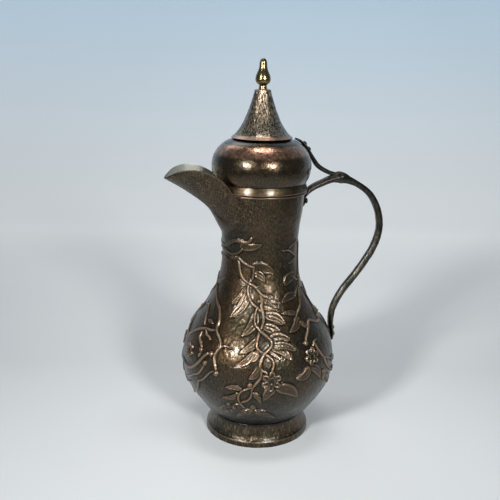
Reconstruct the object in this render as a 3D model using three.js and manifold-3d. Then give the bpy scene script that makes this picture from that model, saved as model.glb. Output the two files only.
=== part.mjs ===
// A copper ewer: a pear-shaped jug on a flared foot, with an open beak spout, a forged S-shaped
// handle, and an onion-domed lid that hinges on the handle's knuckle and ends in a brass finial.
// Vines with leaves and flowers stand out in relief all round the belly and neck.
// Millimetres, +Z up. The spout points to -X and the handle to +X; the jug is mirror-symmetric in Y.
import * as THREE from "three";
import { mergeVertices } from "three/addons/utils/BufferGeometryUtils.js";
import Module from "manifold-3d";

const wasm = await Module();
wasm.setup();

// Driving dimensions
const SHEET = 1.3; // copper sheet of every raised or turned piece
const SEAM = 0.3; // gap left at a soldered or seated joint
const ROUND = 36; // facets round a turned piece

const FOOT_RADIUS = 56.7;
const FOOT_TOP_RADIUS = 50.6;
const FOOT_TOP = 23.4;
const FOOT_BAND_HEIGHT = 6.6;

const FLOOR_RADIUS = 43.5; // the flat bottom of the belly
const FLOOR_HEIGHT = 19.2;
const BELLY_RADIUS = 84;
const BELLY_HEIGHT = 82;
const SHOULDER_RADIUS = 60;
const SHOULDER_HEIGHT = 142.6;
const NECK_SEAM = 150; // height of the flush seam between belly and neck
const WAIST_RADIUS = 41.2; // narrowest part of the neck
const WAIST_HEIGHT = 203;
const RIM_RADIUS = 45.3;
const RIM_HEIGHT = 268.5;
const RIM_WIRE = 1.2; // radius of the wire round the mouth
const SPOUT_SEAM_ANGLE = 50; // degrees from the spout's middle to its seam, at the rim
const SPOUT_SEAM_DEPTH = 46.5; // how far down the neck the spout's seam reaches
const SPOUT_SEAM_SQUARENESS = 2.5; // 2 would make the seam's curve an ellipse
const BELLY_RELIEF = 1.5; // height of the vines over the ground between them
const NECK_RELIEF = 0.8;
const LANDING_WIDTH = 16; // raised landing under the handle's lower end
const LANDING_BOTTOM = 88;
const LANDING_TOP = 122;

const LID_SEAT = RIM_HEIGHT + SEAM;
const BAND_RADIUS = 47.5;
const BAND_HEIGHT = 8.2;
const BAND_FLARE = 18; // degrees from upright
const BEZEL_RADIUS = 42.5;
const BEZEL_DEPTH = 4.6; // how far the bezel reaches into the neck
const DOME_FOOT_RADIUS = 47;
const DOME_FOOT = LID_SEAT + BAND_HEIGHT + SEAM;
const DOME_RADIUS = 51.7;
const DOME_MIDDLE = 293.5;
const DOME_TOP_RADIUS = 24.4;
const DOME_TOP = 327;
const SPIRE_FOOT_RADIUS = 31.4;
const SPIRE_FOOT = 321.7;
const SPIRE_TOP_RADIUS = 7.6;
const SPIRE_TOP = 369.4;
const FINIAL_TOP = 400;
const TANG_RADIUS = 1.8;

const HINGE = new THREE.Vector2(87, 279.5); // the pin's axis, in the XZ plane
const PIN_RADIUS = 1.6;
const RUNNING_FIT = 0.1; // clearance round the pin
const KNUCKLE_WIDTH = 14;
const KNUCKLE_SLOT = 5.6;
const EYE_WIDTH = 5;
const EYE_RADIUS = 4.2;
const EYE_FACETS = 20;
const RIVET_HOLE = 0.3; // clearance round a rivet's shank

// Colours of the real surfaces
const PATINA = { color: 0x4e3a2b, roughness: 0.38, metalness: 1 };
const DARK_COPPER = { color: 0x3d3129, roughness: 0.42, metalness: 1 };
const BRASS = { color: 0xb08d45, roughness: 0.25, metalness: 1 };

// Solids and meshes
function solidOf(geometry) {
  const bare = geometry.clone();
  bare.deleteAttribute("normal");
  bare.deleteAttribute("uv");
  const merged = mergeVertices(bare, 1e-3);
  return new wasm.Manifold(
    new wasm.Mesh({
      numProp: 3,
      vertProperties: new Float32Array(merged.attributes.position.array),
      triVerts: new Uint32Array(merged.index.array),
    }),
  );
}

function geometryOf(solid) {
  const mesh = solid.getMesh();
  const geometry = new THREE.BufferGeometry();
  geometry.setAttribute("position", new THREE.BufferAttribute(new Float32Array(mesh.vertProperties), 3));
  geometry.setIndex(new THREE.BufferAttribute(new Uint32Array(mesh.triVerts), 1));
  geometry.computeVertexNormals();
  return geometry;
}

function cutBy(solid, cutters) {
  return cutters.reduce((left, cutter) => left.subtract(cutter), solid);
}

function piece(name, geometry, look) {
  const mesh = new THREE.Mesh(geometry, new THREE.MeshStandardMaterial(look));
  mesh.name = name;
  return mesh;
}

// A turned solid from a closed outline of [radius, height] points.
function turned(outline, facets = ROUND) {
  const points = outline.map(([r, z]) => new THREE.Vector2(r, z));
  if (points[0].x > 0) points.push(points[0].clone());
  return new THREE.LatheGeometry(points, facets).rotateX(Math.PI / 2);
}

// Points on a path of Bezier curves and lines in the (radius, height) plane.
function traced(path, perCurve) {
  return path.getPoints(perCurve).map((p) => [p.x, p.y]);
}

// The closed outline of a sheet: the outer curve, and the same curve moved inwards by its thickness.
function sheetOutline(outer, thickness) {
  return [...outer, ...sheetInside(outer, thickness).reverse()];
}

// The inside of a sheet, which keeps every second point, the corner after its start and both ends.
function sheetInside(outer, thickness) {
  const last = outer.length - 1;
  return moved(outer, -thickness).filter((_, i) => i % 2 === 1 || i === 0 || i === last);
}

// A curve moved along its own normals: positive away from the axis for a curve that runs upwards.
function moved(curve, distance) {
  return curve.map(([r, z], i) => {
    const [r0, z0] = curve[Math.max(i - 1, 0)];
    const [r1, z1] = curve[Math.min(i + 1, curve.length - 1)];
    const length = Math.hypot(r1 - r0, z1 - z0);
    return [r + ((z1 - z0) / length) * distance, z - ((r1 - r0) / length) * distance];
  });
}

// A solid lofted through rings of points, all with the same count, closed by a fan at each end.
function lofted(rings) {
  const count = rings[0].length;
  const positions = rings.flat().flatMap((p) => [p.x, p.y, p.z]);
  const index = [];
  for (let i = 0; i < rings.length - 1; i++) {
    for (let j = 0; j < count; j++) {
      const a = i * count + j;
      const b = i * count + ((j + 1) % count);
      index.push(a, b, a + count, b, b + count, a + count);
    }
  }
  const last = (rings.length - 1) * count;
  for (let j = 1; j < count - 1; j++) {
    index.push(0, j + 1, j, last, last + j, last + j + 1);
  }
  return indexed(positions, index);
}

// A closed sheet with one thickness, from a grid of points: ribs of equal length.
function sheetOf(ribs, thickness) {
  const rows = ribs.length;
  const across = ribs[0].length;
  const at = (i, j) => ribs[Math.min(Math.max(i, 0), rows - 1)][Math.min(Math.max(j, 0), across - 1)];
  const inner = ribs.map((rib, i) =>
    rib.map((p, j) => {
      const along = at(i + 1, j).clone().sub(at(i - 1, j));
      const round = at(i, j + 1).clone().sub(at(i, j - 1));
      return p.clone().addScaledVector(along.cross(round).normalize(), thickness);
    }),
  );
  const positions = [...ribs.flat(), ...inner.flat()].flatMap((p) => [p.x, p.y, p.z]);
  const skin = (i, j) => i * across + j;
  const lining = (i, j) => rows * across + i * across + j;
  const index = [];
  const quad = (a, b, c, d) => index.push(a, b, c, a, c, d);
  for (let i = 0; i < rows - 1; i++) {
    for (let j = 0; j < across - 1; j++) {
      quad(skin(i, j), skin(i, j + 1), skin(i + 1, j + 1), skin(i + 1, j));
      quad(lining(i, j), lining(i + 1, j), lining(i + 1, j + 1), lining(i, j + 1));
    }
    quad(skin(i, 0), skin(i + 1, 0), lining(i + 1, 0), lining(i, 0));
    const e = across - 1;
    quad(skin(i, e), lining(i, e), lining(i + 1, e), skin(i + 1, e));
  }
  for (let j = 0; j < across - 1; j++) {
    quad(skin(0, j), lining(0, j), lining(0, j + 1), skin(0, j + 1));
    const e = rows - 1;
    quad(skin(e, j), skin(e, j + 1), lining(e, j + 1), lining(e, j));
  }
  return indexed(positions, index);
}

function indexed(positions, index) {
  const geometry = new THREE.BufferGeometry();
  geometry.setAttribute("position", new THREE.Float32BufferAttribute(positions, 3));
  geometry.setIndex(index);
  return geometry;
}

// A round bar along +X from x0 to x1, for drilling and for shanks.
function barAlongX(radius, x0, x1, facets = 16) {
  return new THREE.CylinderGeometry(radius, radius, x1 - x0, facets)
    .rotateZ(-Math.PI / 2)
    .translate((x0 + x1) / 2, 0, 0);
}

// Body profile, from the floor's edge up to the rim
const bellyPath = new THREE.Path()
  .moveTo(FLOOR_RADIUS, FLOOR_HEIGHT)
  .bezierCurveTo(57, 27, BELLY_RADIUS, 52, BELLY_RADIUS, BELLY_HEIGHT)
  .bezierCurveTo(BELLY_RADIUS, 108, 77, 119.5, SHOULDER_RADIUS, SHOULDER_HEIGHT)
  .bezierCurveTo(50, 157.5, WAIST_RADIUS, 176, WAIST_RADIUS, WAIST_HEIGHT)
  .bezierCurveTo(WAIST_RADIUS, 228, RIM_RADIUS - 0.9, 246, RIM_RADIUS, RIM_HEIGHT - 5)
  .lineTo(RIM_RADIUS, RIM_HEIGHT);
const bodyOuter = traced(bellyPath, 5);

// Height of the relief at a level. It fades out above the foot and below the rim.
function reliefAt(height) {
  const { lerp, smoothstep } = THREE.MathUtils;
  const full = lerp(BELLY_RELIEF, NECK_RELIEF, smoothstep(height, 130, 165));
  return full * smoothstep(height, 34, 48) * (1 - smoothstep(height, 225, 245));
}

// The ground between the vines: the profile, lowered by the height of the relief
const groundOuter = moved(bodyOuter, 1).map(([r, z], i) => {
  const [r0, z0] = bodyOuter[i];
  const depth = reliefAt(z0);
  return [r0 - (r - r0) * depth, z0 - (z - z0) * depth];
});

// The jug's outside with a seam's gap round it, as a solid that cuts whatever is joined to the jug.
function jugCutter() {
  const outline = moved(bodyOuter, SEAM);
  return solidOf(turned([[0, FLOOR_HEIGHT], ...outline, [0, RIM_HEIGHT + 1]]));
}

// The space that the rim's wire and the lid's band take up, which the handle's root fits round.
function rimCutter() {
  const radius = RIM_RADIUS + 2 * RIM_WIRE + 3 * SEAM;
  const bottom = RIM_HEIGHT - 2 * RIM_WIRE - SEAM;
  return solidOf(
    turned([
      [0, bottom],
      [radius, bottom],
      [radius, DOME_FOOT + 6],
      [0, DOME_FOOT + 6],
    ]),
  );
}

// Foot ring: a flared skirt with a plain band at its hem and a turned-in edge to stand on
function footRing() {
  const skirt = new THREE.Path()
    .moveTo(FOOT_RADIUS, 0)
    .lineTo(FOOT_RADIUS, FOOT_BAND_HEIGHT - 0.8)
    .lineTo(FOOT_RADIUS - 1.1, FOOT_BAND_HEIGHT)
    .bezierCurveTo(FOOT_RADIUS - 1.5, 12, FOOT_TOP_RADIUS + 2.4, 17.5, FOOT_TOP_RADIUS, FOOT_TOP);
  const outer = traced(skirt, 4);
  const hem = [
    [FOOT_RADIUS - SHEET - 0.4, 1.6],
    [FOOT_RADIUS - 5, 1.6],
    [FOOT_RADIUS - 5, 0],
  ];
  const inner = sheetInside(outer, SHEET).slice(1).reverse();
  const ring = solidOf(turned([...outer, ...inner, ...hem]));
  return geometryOf(ring.subtract(jugCutter()));
}

// Vines on the side that faces -Y: points as [degrees round the jug from the spout, height]
const STEMS = [
  [[38, 203], [54, 198], [68, 195], [66.5, 184.5], [61.5, 175], [67, 162], [80, 151.5]],
  [[40, 203], [46, 190], [55, 181.5], [67, 177.5], [77.5, 169], [79, 157], [81, 147], [75.8, 131],
    [76, 122], [86, 112], [87, 101]],
  [[74.5, 156], [72, 147], [84, 131], [86, 123], [79, 111], [78.5, 97], [72, 80], [63, 73], [65, 58]],
  [[0, 208.5], [20, 207.3], [36, 207], [50, 213]],
  [[-4, 172], [14, 158.5], [30, 148], [35.5, 134], [45.3, 119], [42.5, 108], [45.4, 93]],
  [[0, 86], [14, 84.5], [24, 91], [31, 103], [39.5, 110]],
  [[3, 116], [12, 124], [24, 129.5], [36, 131.5]],
  [[45, 94], [38, 88], [29.5, 77], [25, 65], [14, 53], [0, 46.5]],
  [[118, 145], [130, 153], [141, 168.5], [152, 184], [159, 200], [152, 217]],
  [[118, 121], [124, 129.5], [133, 138], [144, 133.6], [158, 139], [159, 151], [152, 166]],
];
const STEM_WIDTH = 4.4;
const STEM_STEP = 9; // length of one facet along a stem
// Leaves: where each starts, where its tip is and its width in millimetres
const LEAVES = [
  [[64, 196], [97, 189], 12],
  [[48, 214.5], [79, 219], 9],
  [[60, 177], [42, 178.5], 7],
  [[61, 174], [42, 156], 9],
  [[62, 168], [46, 145], 9],
  [[78, 158], [98, 150], 9],
  [[73, 152], [62, 131], 9],
  [[81, 149], [101, 141], 9],
  [[86, 125], [105, 122], 12],
  [[76, 130], [60, 118.5], 8],
  [[76, 120], [59, 101], 9],
  [[88, 83], [81, 68], 9],
  [[90, 83], [105.5, 67], 11],
  [[64, 78], [51, 68], 8],
  [[135, 182], [112.5, 175], 11],
  [[129, 163.5], [105.5, 160], 9],
  [[120, 146], [105.5, 133], 8],
  [[116, 98], [105, 88], 9],
  [[117, 97], [127.5, 81], 8],
];
const FLOWERS = [
  { at: [86, 89], radius: 10.5 },
  { at: [121, 107], radius: 9 },
  { at: [13.5, 103.5], radius: 7 },
];
const ROOTED = 0.7; // how deep a raised form reaches into the sheet below its ground
const FACET_TOLERANCE = 0.2; // slivers smaller than this are merged where forms meet

// A point on the jug at some depth below its profile
function atDepth([turn, height], depth) {
  const next = Math.max(bodyOuter.findIndex(([, z]) => z >= height), 1);
  const [r0, z0] = bodyOuter[next - 1];
  const [r1, z1] = bodyOuter[next];
  const slope = (r1 - r0) / (z1 - z0);
  const across = depth / Math.hypot(1, slope);
  const radius = r0 + (height - z0) * slope - across;
  return roundTheJug(-THREE.MathUtils.degToRad(turn), radius, height + across * slope);
}

// A point at a distance in millimetres from another, both as [degrees, height]
function offset([turn, height], across, up) {
  return [turn + THREE.MathUtils.radToDeg(across / jugRadius(height)), height + up];
}

// How far one point lies from another, across the jug and up, in millimetres
function between([turn0, height0], [turn1, height1]) {
  const radius = jugRadius((height0 + height1) / 2);
  return [THREE.MathUtils.degToRad(turn1 - turn0) * radius, height1 - height0];
}

// A ridge along a course of points, with a half-width and a share of the full height at each.
function ridge(course, halves, rises) {
  const rings = course.map((here, i) => {
    const [run, rise] = between(course[Math.max(i - 1, 0)], course[Math.min(i + 1, course.length - 1)]);
    const scale = halves[i] / Math.hypot(run, rise);
    const across = rise * scale;
    const up = run * scale;
    const relief = reliefAt(here[1]);
    return [
      atDepth(offset(here, -across, up), relief + ROOTED),
      atDepth(here, relief * (1 - rises[i])),
      atDepth(offset(here, across, -up), relief + ROOTED),
    ];
  });
  return solidOf(lofted(rings));
}

function stem(stations) {
  const length = stations.slice(1).reduce((sum, p, i) => sum + Math.hypot(...between(stations[i], p)), 0);
  const curve = new THREE.SplineCurve(stations.map((p) => new THREE.Vector2(...p)));
  const course = curve.getPoints(Math.round(length / STEM_STEP)).map((p) => [p.x, p.y]);
  const ends = (i) => i === 0 || i === course.length - 1;
  const halves = course.map((_, i) => (STEM_WIDTH / 2) * (ends(i) ? 0.6 : 1));
  return ridge(course, halves, course.map((_, i) => (ends(i) ? 0.6 : 1)));
}

function leaf([[turn0, height0], [turn1, height1], width]) {
  const { lerp } = THREE.MathUtils;
  const course = [0, 0.4, 0.75, 1].map((t) => [lerp(turn0, turn1, t), lerp(height0, height1, t)]);
  return ridge(course, [width * 0.2, width * 0.5, width * 0.38, 0.5], [0.5, 1, 0.9, 0.3]);
}

// A flower of six petals with a raised middle
function flower({ at, radius }) {
  const relief = reliefAt(at[1]);
  const ring = (scale, waist, depth) =>
    Array.from({ length: 12 }, (_, k) => {
      const turn = (Math.PI * k) / 6;
      const reach = radius * scale * (k % 2 ? waist : 1);
      return atDepth(offset(at, reach * Math.cos(turn), reach * Math.sin(turn)), depth);
    });
  return solidOf(lofted([ring(1, 0.72, relief + ROOTED), ring(0.8, 0.72, 0)]));
}

function vines() {
  const side = wasm.Manifold.union([...STEMS.map(stem), ...LEAVES.map(leaf), ...FLOWERS.map(flower)]);
  return side.add(side.mirror([0, 1, 0]));
}

// The landing keeps the full profile, so that the handle's lower end bears on it.
function landing(sheet) {
  const reach = BELLY_RADIUS + 1;
  const tall = LANDING_TOP - LANDING_BOTTOM;
  const block = new THREE.BoxGeometry(reach / 2, LANDING_WIDTH, tall);
  return sheet.intersect(
    solidOf(block.translate(reach * 0.75, 0, (LANDING_TOP + LANDING_BOTTOM) / 2)),
  );
}

// Belly and neck are two raised sheets on one flowing profile, joined by a flush seam. The profile
// starts on the inward flange that the floor is soldered to.
function bodySheet() {
  const flange = [FLOOR_RADIUS - 5, FLOOR_HEIGHT];
  const ground = solidOf(turned(sheetOutline([flange, ...groundOuter], SHEET)));
  const proud = solidOf(turned(sheetOutline([flange, ...bodyOuter], BELLY_RELIEF + SHEET / 2)));
  return wasm.Manifold.union([ground, landing(proud), vines()]).asOriginal().simplify(FACET_TOLERANCE);
}
const body = bodySheet();

function bellyShell(rivets) {
  const top = NECK_SEAM - SEAM / 2;
  const sheet = body.trimByPlane([0, 0, -1], -top);
  return geometryOf(cutBy(sheet, drilled(rivets)));
}

function neckShell(rivets) {
  const bottom = NECK_SEAM + SEAM / 2;
  const sheet = body.trimByPlane([0, 0, 1], bottom);
  return geometryOf(cutBy(sheet, [neckNotch(), ...drilled(rivets)]));
}

// Floor of the jug: a dished disc soldered down on the shell's inward flange
function baseDisc() {
  const bottom = FLOOR_HEIGHT + SHEET + SEAM;
  const radius = FLOOR_RADIUS - 2.6;
  const dish = 1.6;
  return turned([
    [0, bottom + dish],
    [radius * 0.6, bottom + dish * 0.7],
    [radius * 0.88, bottom],
    [radius, bottom],
    [radius, bottom + SHEET],
    [radius * 0.88, bottom + SHEET],
    [radius * 0.6, bottom + dish * 0.7 + SHEET],
    [0, bottom + dish + SHEET],
  ]);
}

// Wire soldered round the mouth, broken at the spout
function rimWire() {
  const ringRadius = RIM_RADIUS + SEAM + RIM_WIRE;
  const arc = THREE.MathUtils.degToRad(360 - 2 * SPOUT_SEAM_ANGLE - 3);
  const steps = 32;
  const sides = 8;
  const rings = Array.from({ length: steps + 1 }, (_, i) => {
    const turn = -arc / 2 + (arc * i) / steps;
    return Array.from({ length: sides }, (_, k) => {
      const round = (2 * Math.PI * k) / sides;
      const r = ringRadius + RIM_WIRE * Math.cos(round);
      const z = RIM_HEIGHT - RIM_WIRE - RIM_WIRE * Math.sin(round);
      return new THREE.Vector3(r * Math.cos(turn), r * Math.sin(turn), z);
    });
  });
  return geometryOf(solidOf(lofted(rings)).subtract(jugCutter()));
}

// The seam that joins the spout flush into the neck: a deep U from one side of the mouth to the
// other. The angle round the neck starts from the spout's middle, and the depth from the rim.
function seamCurve(clearance, steps) {
  const widest = SPOUT_SEAM_ANGLE + THREE.MathUtils.radToDeg(clearance / RIM_RADIUS);
  const deepest = SPOUT_SEAM_DEPTH + clearance;
  return Array.from({ length: steps + 1 }, (_, k) => {
    const turn = (Math.PI * k) / steps;
    const across = Math.abs(Math.cos(turn)) ** (2 / SPOUT_SEAM_SQUARENESS);
    return {
      angle: THREE.MathUtils.degToRad(widest * across * Math.sign(Math.cos(turn))),
      height: RIM_HEIGHT - deepest * Math.sin(turn),
    };
  });
}

// A point at an angle from the spout's middle, at a radius and height.
function roundTheJug(angle, radius, height) {
  return new THREE.Vector3(-radius * Math.cos(angle), radius * Math.sin(angle), height);
}

// Radius of the jug's ground at a height.
function jugRadius(height) {
  const next = Math.max(groundOuter.findIndex(([, z]) => z >= height), 1);
  const [r0, z0] = groundOuter[next - 1];
  const [r1, z1] = groundOuter[next];
  return THREE.MathUtils.mapLinear(height, z0, z1, r0, r1);
}

// The part of the neck that the spout takes the place of
function neckNotch() {
  const sections = seamCurve(SEAM, 40).map(({ angle, height }) => [
    roundTheJug(angle, RIM_RADIUS + 9, height),
    roundTheJug(angle, RIM_RADIUS - 12, height),
    roundTheJug(angle, RIM_RADIUS - 12, RIM_HEIGHT + 5),
    roundTheJug(angle, RIM_RADIUS + 9, RIM_HEIGHT + 5),
  ]);
  return solidOf(lofted(sections));
}

// The spout's three rails, station by station from the neck out to the tip: reach from the jug's
// axis, half-width and height. The flank runs from the rim to the crease, the gusset on to the keel.
const SPOUT_STATIONS = [
  { rim: [36.2, 33.9, 268.2], crease: [34.6, 26.6, 237.4], keel: [44.6, 0, 230.4] },
  { rim: [40.4, 31.9, 275.4], crease: [41.4, 18.4, 240.6], keel: [48.8, 0, 239.2] },
  { rim: [48.6, 28.2, 283.8], crease: [49.8, 8.2, 246.0], keel: [55.0, 0, 249.6] },
  { rim: [61.4, 25.0, 290.3], crease: [61.0, 3.0, 256.0], keel: [63.0, 0, 257.6] },
  { rim: [75.6, 23.2, 292.6], crease: [75.4, 2.0, 266.6], keel: [76.2, 0, 267.2] },
  { rim: [88.2, 17.4, 290.4], crease: [88.8, 1.4, 275.2], keel: [89.0, 0, 275.4] },
  { rim: [97.4, 7.6, 284.8], crease: [98.0, 0.9, 280.5], keel: [98.2, 0, 280.6] },
  { rim: [100.0, 2.4, 282.7], crease: [100.2, 0.6, 281.7], keel: [100.4, 0, 281.6] },
];
const SPOUT_BULGE = 3; // how far the flanks swell at the middle of the spout
const SPOUT_STEPS = 14;
const FLANK_STEPS = 5;
const GUSSET_STEPS = 4;
const RIB_STEPS = 2 * (FLANK_STEPS + GUSSET_STEPS);

// A smooth curve through one rail of the spout
function spoutRail(name) {
  return new THREE.CatmullRomCurve3(
    SPOUT_STATIONS.map(({ [name]: [reach, side, height] }) => new THREE.Vector3(-reach, side, height)),
    false,
    "centripetal",
  );
}

// One rib across the spout, down the far flank, round the keel and up the near one
function spoutRib(top, fold, bottom, bulge) {
  const middle = top.clone().add(fold).multiplyScalar(0.5);
  middle.y += bulge * 2;
  middle.z -= bulge;
  const flank = new THREE.QuadraticBezierCurve3(top, middle, fold).getPoints(FLANK_STEPS);
  const turn = new THREE.Vector3(bottom.x, fold.y * 0.5, bottom.z);
  const gusset = new THREE.QuadraticBezierCurve3(fold, turn, bottom).getPoints(GUSSET_STEPS).slice(1);
  const half = [...flank, ...gusset];
  const mirrored = half.slice(0, -1).reverse().map((p) => new THREE.Vector3(p.x, -p.y, p.z));
  return [...half, ...mirrored];
}

// The spout's root starts on the neck, along the seam, and eases out into its first rib.
function spout() {
  const [rim, crease, keel] = ["rim", "crease", "keel"].map(spoutRail);
  const ribs = Array.from({ length: SPOUT_STEPS }, (_, i) => {
    const t = i / (SPOUT_STEPS - 1);
    const bulge = SPOUT_BULGE * Math.sin(Math.PI * t) ** 1.5;
    return spoutRib(rim.getPoint(t), crease.getPoint(t), keel.getPoint(t), bulge);
  });
  const seam = seamCurve(0, RIB_STEPS).map(({ angle, height }) =>
    roundTheJug(angle, jugRadius(height), height),
  );
  const easing = [0.3, 0.65].map((share) =>
    seam.map((onSeam, k) => {
      const straight = onSeam.clone().lerp(ribs[0][k], share);
      const angle = Math.atan2(straight.y, -straight.x);
      const radius = jugRadius(straight.z);
      const rise = Math.hypot(straight.x, straight.y) - radius;
      return roundTheJug(angle, radius + rise * share, straight.z);
    }),
  );
  return sheetOf([seam, ...easing, ...ribs], SHEET);
}

// Handle stations: where the forged bar's middle runs, and how wide and thick it is there
const HANDLE_STATIONS = [
  { x: 45.6, z: 249.0, wide: 5, thick: 2.6 },
  { x: 46.7, z: 253.0, wide: 9.6, thick: 3.4 },
  { x: 46.9, z: 258.6, wide: 10.2, thick: 3.4 },
  { x: 53.6, z: 267.2, wide: 9.2, thick: 6.8 },
  { x: 67.6, z: 274.0, wide: 9.2, thick: 7.2 },
  { x: 77.4, z: 277.6, wide: 10.8, thick: 8.2 },
  { x: 87.0, z: 278.9, wide: KNUCKLE_WIDTH, thick: 12.4 },
  { x: 96.4, z: 275.8, wide: 11, thick: 8.4 },
  { x: 106.4, z: 271.2, wide: 9.2, thick: 6.8 },
  { x: 121.2, z: 260.2, wide: 9.2, thick: 6.8 },
  { x: 131.8, z: 241.4, wide: 9.4, thick: 7.0 },
  { x: 134.8, z: 221.6, wide: 9.6, thick: 7.2 },
  { x: 128.8, z: 200.2, wide: 9.6, thick: 7.4 },
  { x: 112.4, z: 174.4, wide: 9.6, thick: 7.4 },
  { x: 94.0, z: 150.4, wide: 9.6, thick: 7.2 },
  { x: 84.6, z: 131.0, wide: 9.6, thick: 6.8 },
  { x: 83.0, z: 115.6, wide: 11.4, thick: 5.4 },
  { x: 84.6, z: 103.0, wide: 12, thick: 4.4 },
  { x: 85.2, z: 94.6, wide: 5.6, thick: 3.8 },
];
const HANDLE_STEPS = 62;
const RIDGE = 0.42; // how far the bar's sides slope in from their ridge, as a share of half the width

// A bar forged along stations in the XZ plane, its width along Y, with a blunt ridge down each side.
function forgedBar(stations, steps) {
  const route = new THREE.CatmullRomCurve3(
    stations.map(({ x, z }) => new THREE.Vector3(x, 0, z)),
    false,
    "centripetal",
  );
  const sizes = new THREE.CatmullRomCurve3(
    stations.map(({ wide, thick }) => new THREE.Vector3(wide / 2, thick / 2, 0)),
    false,
    "centripetal",
  );
  const across = new THREE.Vector3(0, 1, 0);
  const rings = Array.from({ length: steps + 1 }, (_, i) => {
    const t = i / steps;
    const middle = route.getPoint(t);
    const outward = route.getTangent(t).cross(across).normalize();
    const { x: half, y: thick } = sizes.getPoint(t);
    const face = half * (1 - RIDGE);
    const blunt = thick * 0.14;
    const section = [
      [half, blunt],
      [face, thick],
      [-face, thick],
      [-half, blunt],
      [-half, -blunt],
      [-face, -thick],
      [face, -thick],
      [half, -blunt],
    ];
    return section.map(([w, h]) =>
      middle.clone().addScaledVector(across, w).addScaledVector(outward, h),
    );
  });
  return solidOf(lofted(rings));
}

// A round bar across the jug on the hinge's axis
function barAtHinge(radius, length) {
  return solidOf(
    new THREE.CylinderGeometry(radius, radius, length, EYE_FACETS).translate(HINGE.x, 0, HINGE.y),
  );
}

// The knuckle's slot, open upwards and towards the lid, as a cutter
function knuckleSlot() {
  const towardsLid = 14;
  const behind = EYE_RADIUS + 1.2;
  const below = EYE_RADIUS + SEAM;
  const above = 12;
  return solidOf(
    new THREE.BoxGeometry(towardsLid + behind, KNUCKLE_SLOT, below + above).translate(
      HINGE.x + (behind - towardsLid) / 2,
      0,
      HINGE.y + (above - below) / 2,
    ),
  );
}

function handle(rivets) {
  const bar = forgedBar(HANDLE_STATIONS, HANDLE_STEPS);
  const pinHole = barAtHinge(PIN_RADIUS + RUNNING_FIT, KNUCKLE_WIDTH + 6);
  return geometryOf(cutBy(bar, [jugCutter(), rimCutter(), knuckleSlot(), pinHole, ...drilled(rivets)]));
}

// A rivet in the XZ plane: a domed head outside, a shank through the sheets and a flat head inside.
class Rivet {
  constructor(kind, { x, z, tilt, grip }) {
    Object.assign(this, kind, { x, z, tilt, grip });
  }

  place(geometry) {
    return geometry.rotateY(-this.tilt).translate(this.x, 0, this.z);
  }

  drill() {
    return solidOf(this.place(barAlongX(this.radius + RIVET_HOLE, -this.grip - 6, 8)));
  }

  // Its own X axis points outwards, and x = 0 is the outer face that the head sits on.
  mesh(name, look) {
    const arc = Array.from({ length: 3 }, (_, i) => {
      const turn = (Math.PI / 2) * (i / 3);
      return [this.head * Math.cos(turn), SEAM + this.dome * Math.sin(turn)];
    });
    const burr = this.head * 0.9;
    const inside = -this.grip - SEAM * 1.5;
    const outline = [
      [0, inside - 1],
      [burr, inside - 1],
      [burr, inside],
      [this.radius, inside],
      [this.radius, SEAM],
      ...arc,
      [0, SEAM + this.dome],
    ];
    const geometry = turned(outline, 12).rotateY(Math.PI / 2);
    return piece(name, this.place(geometry), look);
  }
}

function drilled(rivets) {
  return rivets.map((rivet) => rivet.drill());
}

// Outline of the lid's dome, from its foot on the band to the collar that the spire sits on
const domePath = new THREE.Path()
  .moveTo(DOME_FOOT_RADIUS, DOME_FOOT)
  .lineTo(DOME_FOOT_RADIUS, DOME_FOOT + 0.8)
  .bezierCurveTo(49.6, 280.5, DOME_RADIUS, 287.5, DOME_RADIUS, DOME_MIDDLE)
  .bezierCurveTo(DOME_RADIUS, 305, 44, 315.5, 34, 319.3)
  .bezierCurveTo(29.6, 320.9, 27.6, 322.6, DOME_TOP_RADIUS, DOME_TOP);
const domeOuter = traced(domePath, 4);

function domeCutter() {
  const outline = moved(domeOuter, SEAM);
  return solidOf(turned([[0, DOME_FOOT], ...outline, [0, DOME_TOP + SEAM]]));
}

function lidDome(rivets) {
  const shell = solidOf(turned(sheetOutline(domeOuter, SHEET)));
  return geometryOf(cutBy(shell, drilled(rivets)));
}

// A ring that flares downwards to a rounded bead, which bears on the rim
function lidBand() {
  const inner = BEZEL_RADIUS + SEAM;
  const bead = 1.1;
  const beadMiddle = LID_SEAT + bead;
  const beadArc = Array.from({ length: 5 }, (_, i) => {
    const turn = THREE.MathUtils.degToRad(-90 + ((90 + BAND_FLARE) * i) / 4);
    return [BAND_RADIUS - 0.1 + bead * Math.cos(turn), beadMiddle + bead * Math.sin(turn)];
  });
  const [footRadius, footHeight] = beadArc.at(-1);
  const top = LID_SEAT + BAND_HEIGHT;
  const shoulder = top - 0.9;
  const taper = Math.tan(THREE.MathUtils.degToRad(BAND_FLARE)) * (shoulder - footHeight);
  return turned([
    [inner, LID_SEAT],
    ...beadArc,
    [footRadius - taper, shoulder],
    [footRadius - taper - 0.6, top],
    [inner, top],
  ]);
}

function lidBezel() {
  return turned([
    [BEZEL_RADIUS - SHEET, LID_SEAT - BEZEL_DEPTH],
    [BEZEL_RADIUS, LID_SEAT - BEZEL_DEPTH],
    [BEZEL_RADIUS, LID_SEAT + BAND_HEIGHT],
    [BEZEL_RADIUS - SHEET, LID_SEAT + BAND_HEIGHT],
  ]);
}

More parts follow.
